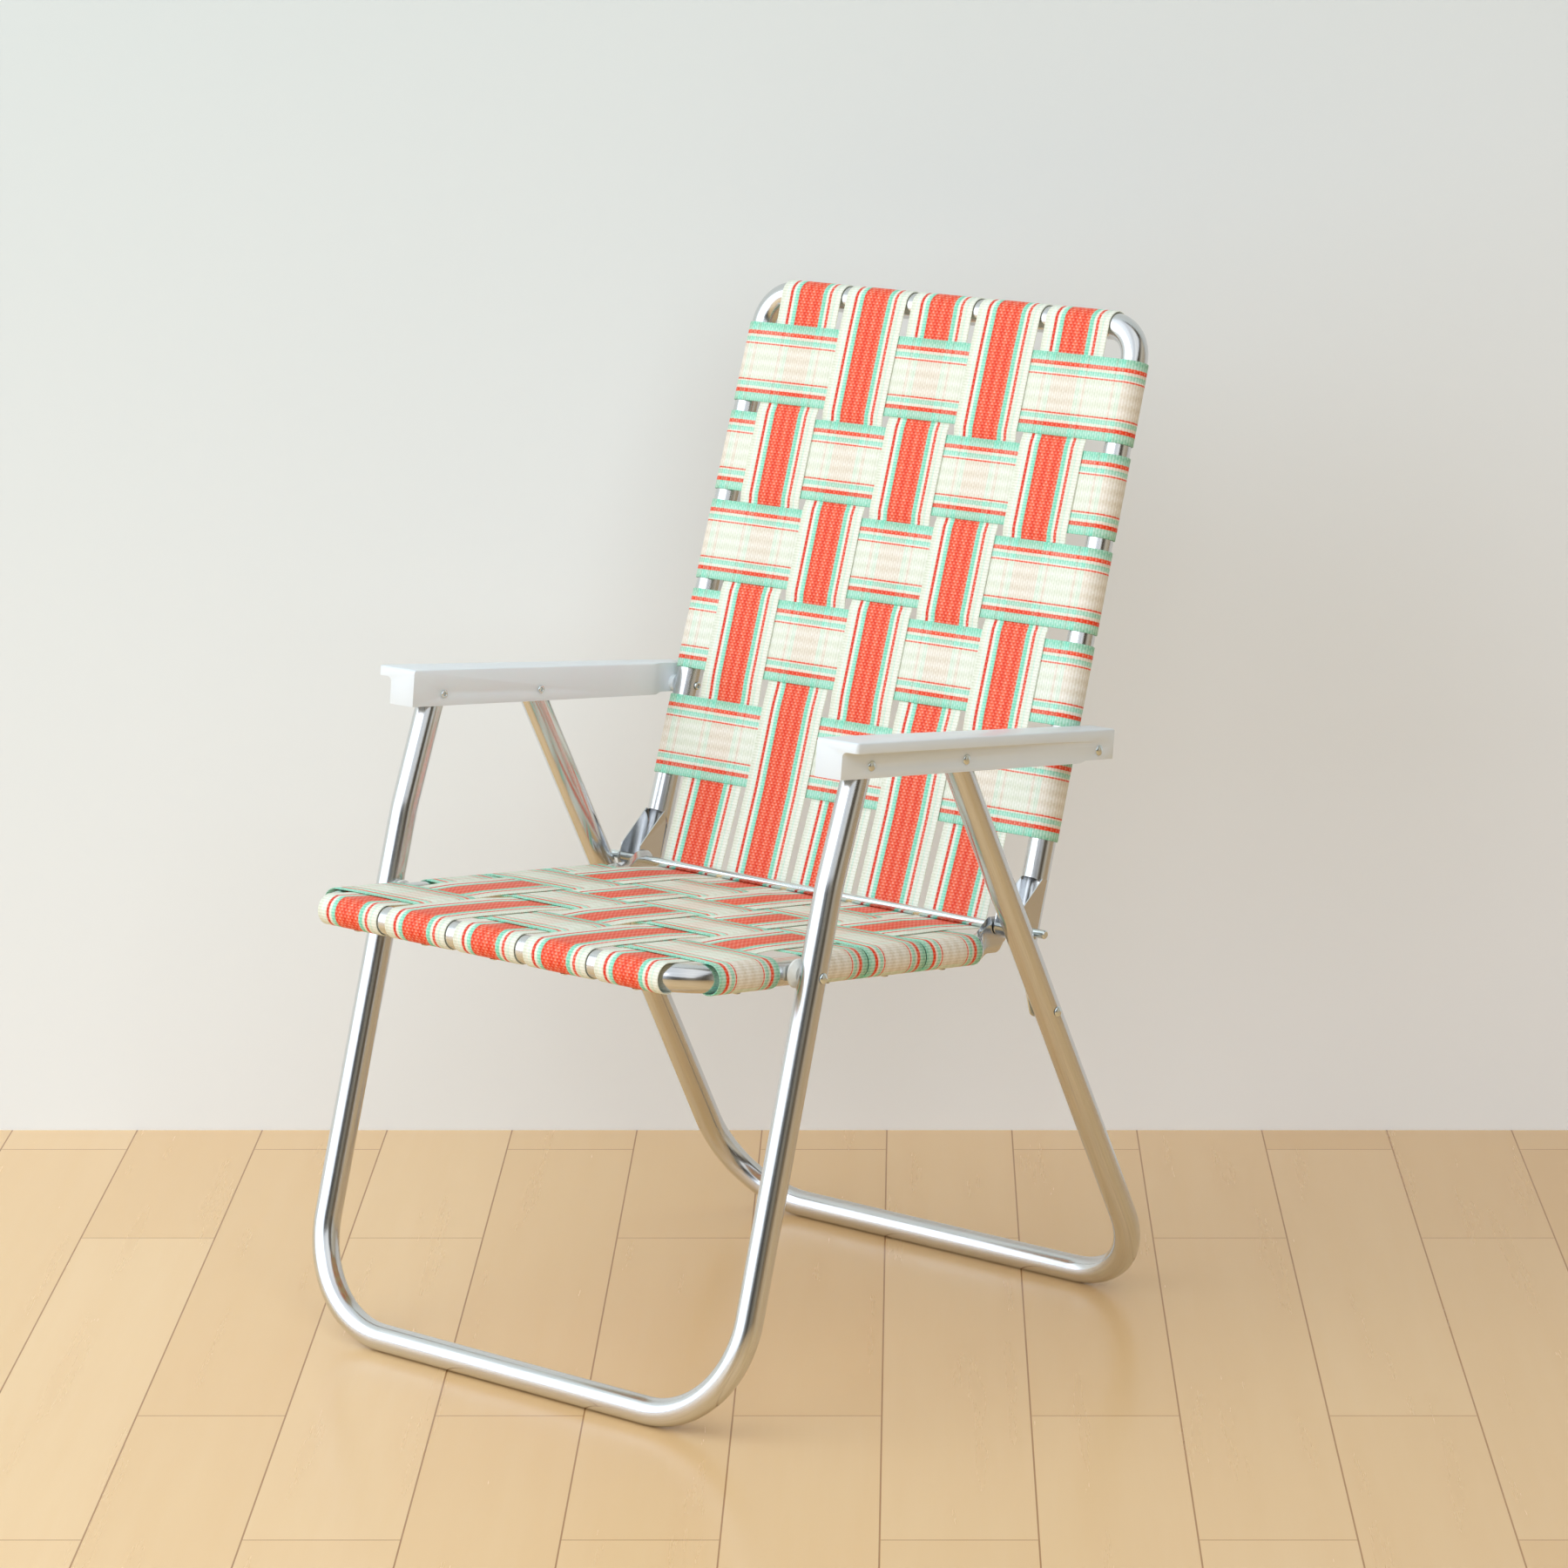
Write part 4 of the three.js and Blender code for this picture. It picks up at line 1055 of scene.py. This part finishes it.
def screw_mesh():
    """A hex screw with a washer face, its head up along Z from the face it sits on."""
    points, faces = [], []
    rings = []
    sides = 24
    levels = (
        (SCREW_WASHER, 0.0),
        (SCREW_WASHER, 0.5),
        (SCREW_WASHER - 0.4, 0.8),
        (None, 0.8),
        (None, SCREW_HEIGHT - 0.4),
        (SCREW_HEAD * 0.85, SCREW_HEIGHT),
        (SCREW_HEAD * 0.45, SCREW_HEIGHT - 0.15),
    )
    for radius, z in levels:
        rings.append(len(points))
        for k in range(sides):
            angle = 2 * math.pi * k / sides
            inside = (angle + math.pi / 6) % (math.pi / 3) - math.pi / 6
            r = radius if radius is not None else SCREW_HEAD * math.cos(math.pi / 6) / math.cos(inside)
            points.append(Vector((r * math.cos(angle), r * math.sin(angle), z)) * MM)
    for low, high in zip(rings, rings[1:]):
        for k in range(sides):
            after = (k + 1) % sides
            faces.append([low + k, low + after, high + after, high + k])
    faces.append([rings[-1] + k for k in range(sides)])
    faces.append([rings[0] + k for k in range(sides - 1, -1, -1)])
    mesh = bpy.data.meshes.new("screw")
    mesh.from_pydata(points, [], faces)
    soften(mesh)
    mesh.materials.append(ZINC)
    return mesh


def screws():
    """The screws that hold the straps' hooked ends, on the sides of the tubes that don't show."""
    mesh = screw_mesh()
    lift = WEB_RADIUS + WEB / 2

    def put(name, body, place, at, outward):
        screw = bpy.data.objects.new(name, mesh)
        bpy.context.scene.collection.objects.link(screw)
        turn = (place.to_3x3() @ outward).to_track_quat("Z", "Y")
        spot = (place @ (at + outward * lift)) * MM
        screw.matrix_world = Matrix.Translation(spot) @ turn.to_matrix().to_4x4()
        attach(screw, body)

    for column, x in enumerate(LONG_CENTRES):
        angle = math.pi / 2 + HOOK - SCREW_FROM_END
        outward = Vector((0, math.cos(angle), math.sin(angle)))
        front = Vector((x * spread_at(-SEAT_REACH), -SEAT_REACH, 0))
        put(f"front_bar_screw_{column + 1}", "seat", SEAT, front, outward)
        angle = math.pi / 2 - HOOK + SCREW_FROM_END
        outward = Vector((0, -math.sin(angle), math.cos(angle)))
        put(f"top_bar_screw_{column + 1}", "back", BACK, Vector((x, BACK_BEHIND_ROD, BACK_HEIGHT)), outward)
    angle = math.pi / 2 - HOOK + SCREW_FROM_END
    for word, sign in SIDES:
        for row, along in enumerate(SEAT_ROWS):
            outward = Vector((sign * math.cos(angle), 0, math.sin(angle)))
            put(f"seat_side_screw_{row + 1}_{word}", "seat", SEAT,
                Vector((sign * SEAT_HALF_WIDTH, along, 0)), outward)
        for row, up in enumerate(BACK_ROWS):
            outward = Vector((sign * math.cos(angle), -math.sin(angle), 0))
            put(f"back_side_screw_{row + 1}_{word}", "back", BACK,
                Vector((sign * back_side_at(up), BACK_BEHIND_ROD, up)), outward)


# The room: a maple plank floor, a pale wall, a window to the left and a ceiling light

CAMERA_AT = Vector((3.4340, -3.7464, 1.5339))
PITCH = 0.1883
YAW = 0.709
FORWARD = Vector((-math.sin(YAW), math.cos(YAW), 0))
RIGHT = Vector((math.cos(YAW), math.sin(YAW), 0))
WALL_DISTANCE = 5.747


# Satin varnished maple planks, 132 mm wide with dark joints, with painted shade that darkens them a little
# away from the window
def board_floor():
    made, tree = material("maple planks")
    space = add(tree, "ShaderNodeTexCoord").outputs["Object"]
    turned = scaled(tree, space, (1, 1, 1), (0, 0, 0), (0, 0, -YAW - math.pi / 2))
    bricks = add(tree, "ShaderNodeTexBrick", {
        "Vector": scaled(tree, turned, (1, 1, 1), (0.31, 0.0076, 0)),
        "Color1": (0, 0, 0, 1),
        "Color2": (1, 1, 1, 1),
        "Mortar": (0.5, 0.5, 0.5, 1),
        "Scale": 1.0,
        "Mortar Size": 0.0009,
        "Mortar Smooth": 0.3,
        "Brick Width": 0.9,
        "Row Height": 0.13188,
    }, offset=0.37, offset_frequency=2)
    grain = noise(tree, scaled(tree, turned, (1.6, 26, 1)), 1.0, 6.0, 0.62)
    figure = noise(tree, scaled(tree, turned, (0.7, 4.2, 1)), 1.3, 3.0)
    plank = mix_colour(tree, bricks.outputs[0], linear("#E8C38D"), linear("#F2D2A1"))
    grained = mix_colour(tree, ranged(tree, grain, 0.0, 0.5), plank, linear("#DAAC70"))
    figured = mix_colour(tree, ranged(tree, figure, 0.0, 0.35), grained, linear("#F2D6A6"))
    joint = math_node(tree, "MULTIPLY", bricks.outputs[1], 0.85)
    jointed = mix_colour(tree, joint, figured, linear("#96632F"))
    # Painted shade: the planks darken towards the side away from the window, where the window light falls off
    aside = add(tree, "ShaderNodeVectorMath", {0: space, 1: RIGHT}, operation="DOT_PRODUCT").outputs["Value"]
    painted_light_share = add(tree, "ShaderNodeMapRange", {0: aside, 1: -0.3, 2: 0.9, 3: 0.0, 4: 0.3}).outputs[0]
    toned = mix_colour(tree, painted_light_share, jointed, linear("#B98E5E"))
    bump = add(tree, "ShaderNodeBump", {"Height": grain, "Strength": 0.04, "Distance": 0.001})
    shader = add(tree, "ShaderNodeBsdfPrincipled", {
        "Base Color": toned,
        "Roughness": ranged(tree, grain, 0.2, 0.32),
        "Specular IOR Level": 0.5,
        "Normal": bump.outputs[0],
    })
    finish_surface(tree, shader.outputs[0])
    return made


def wall_paint():
    """Painted on the side that faces the room, so that the chair can be seen from behind it."""
    made, tree = material("matt wall paint")
    space = add(tree, "ShaderNodeTexCoord").outputs["Object"]
    roller = noise(tree, space, 60.0, 3.0)
    # Painted light: lighter at its foot and away from the window, so that the light on it comes out even
    slope = Vector((0, 0, 1)) - RIGHT * 0.35
    along = add(tree, "ShaderNodeVectorMath", {0: space, 1: slope}, operation="DOT_PRODUCT").outputs["Value"]
    painted_light_share = add(tree, "ShaderNodeMapRange", {0: along, 1: -0.1, 2: 1.4}).outputs[0]
    tone = mix_colour(tree, painted_light_share, linear("#F6FAFC"), linear("#DAE4E5"))
    bump = add(tree, "ShaderNodeBump", {"Height": roller, "Strength": 0.05, "Distance": 0.001})
    shader = add(tree, "ShaderNodeBsdfPrincipled", {
        "Base Color": tone,
        "Roughness": 0.9,
        "Specular IOR Level": 0.1,
        "Normal": bump.outputs[0],
    })
    behind = add(tree, "ShaderNodeNewGeometry").outputs["Backfacing"]
    clear = add(tree, "ShaderNodeBsdfTransparent").outputs[0]
    one_sided = add(tree, "ShaderNodeMixShader", {0: behind, 1: shader.outputs[0], 2: clear})
    finish_surface(tree, one_sided.outputs[0])
    return made


def sheet_of(name, corners, finish):
    mesh = bpy.data.meshes.new(name)
    mesh.from_pydata(corners, [], [tuple(range(len(corners)))])
    made = bpy.data.objects.new(name, mesh)
    bpy.context.scene.collection.objects.link(made)
    mesh.materials.append(finish)


def light(name, at, towards, size, power, colour):
    data = bpy.data.lights.new(name, "AREA")
    data.shape = "RECTANGLE"
    data.size, data.size_y = size
    data.energy = power
    data.color = linear(colour)[:3]
    made = bpy.data.objects.new(name, data)
    made.location = at
    made.rotation_mode = "QUATERNION"
    made.rotation_quaternion = (towards - at).to_track_quat("-Z", "Y")
    bpy.context.scene.collection.objects.link(made)
    return made


def room():
    ground = -0.0003
    reach = 9.0
    base = CAMERA_AT.copy()
    base.z = ground
    near = [base + RIGHT * reach * s - FORWARD * reach for s in (-1, 1)]
    foot = [base + RIGHT * reach * s + FORWARD * WALL_DISTANCE for s in (1, -1)]
    beyond = [p + FORWARD * reach for p in foot]
    sheet_of("plank_floor", near + beyond, board_floor())
    top = [p + Vector((0, 0, 5)) for p in foot]
    sheet_of("wall", foot[::-1] + top, wall_paint())
    chair = Vector((0, 0, 0.45))
    window_at = chair - RIGHT * 2.9 - FORWARD * 1.2 + Vector((0, 0, 1.2))
    ceiling_at = chair - RIGHT * 0.8 - FORWARD * 2.0 + Vector((0, 0, 3.2))
    fill_at = CAMERA_AT + RIGHT * 0.6 + Vector((0, 0, 0.8))
    light("window", window_at, chair, (5.6, 3.2), 74, "#EFF4FF")
    light("ceiling", ceiling_at, chair, (8.0, 6.0), 138, "#F4F9FF")
    fill = light("fill", fill_at, chair, (3.0, 3.0), 62, "#F4F8FF")
    fill.visible_glossy = False


# How the rest of the room shows in the metal, from the window's side to the far side
ROOM_TONES = (
    (0.0, "#EEF3F6"),
    (0.2, "#C9CFD1"),
    (0.3, "#A3A8A8"),
    (0.39, "#4C4B49"),
    (0.47, "#504E4A"),
    (0.6, "#989080"),
    (0.66, "#989080"),
    (0.76, "#5C5347"),
    (0.83, "#5C5347"),
    (0.92, "#E9DFCB"),
    (1.0, "#CDBFA6"),
)


def surroundings():
    world = bpy.data.worlds.new("room light")
    world.use_nodes = True
    tree = world.node_tree
    tree.nodes.clear()
    way = add(tree, "ShaderNodeTexCoord").outputs["Generated"]
    turned = add(tree, "ShaderNodeVectorMath", {0: way, 1: RIGHT}, operation="DOT_PRODUCT").outputs["Value"]
    share = add(tree, "ShaderNodeMapRange", {0: turned, 1: -1.0, 2: 1.0}).outputs[0]
    ramp = add(tree, "ShaderNodeValToRGB", {"Fac": share})
    ramp.color_ramp.elements.remove(ramp.color_ramp.elements[-1])
    for i, (at, tone) in enumerate(ROOM_TONES):
        element = ramp.color_ramp.elements[0] if i == 0 else ramp.color_ramp.elements.new(at)
        element.position, element.color = at, linear(tone)
    backdrop = add(tree, "ShaderNodeBackground", {"Color": ramp.outputs[0], "Strength": 0.8})
    add(tree, "ShaderNodeOutputWorld", {"Surface": backdrop.outputs[0]})
    bpy.context.scene.world = world


def camera():
    data = bpy.data.cameras.new("photo camera")
    data.lens = 129.0
    data.sensor_width = 36.0
    data.shift_x = -0.0824
    data.shift_y = -0.0398
    data.clip_end = 50
    made = bpy.data.objects.new("photo camera", data)
    made.location = CAMERA_AT
    made.rotation_mode = "QUATERNION"
    aim = FORWARD * math.cos(PITCH) - Vector((0, 0, math.sin(PITCH)))
    made.rotation_quaternion = aim.to_track_quat("-Z", "Y")
    bpy.context.scene.collection.objects.link(made)
    bpy.context.scene.camera = made


leg_frames()
seat_tube = seat_frame()
back_tube = back_frame()
long_straps()
cross_straps()
rivets()
rod()
spacers()
links()
armrests()
screws()
room()
surroundings()
camera()
bpy.context.scene.view_settings.view_transform = "Standard"
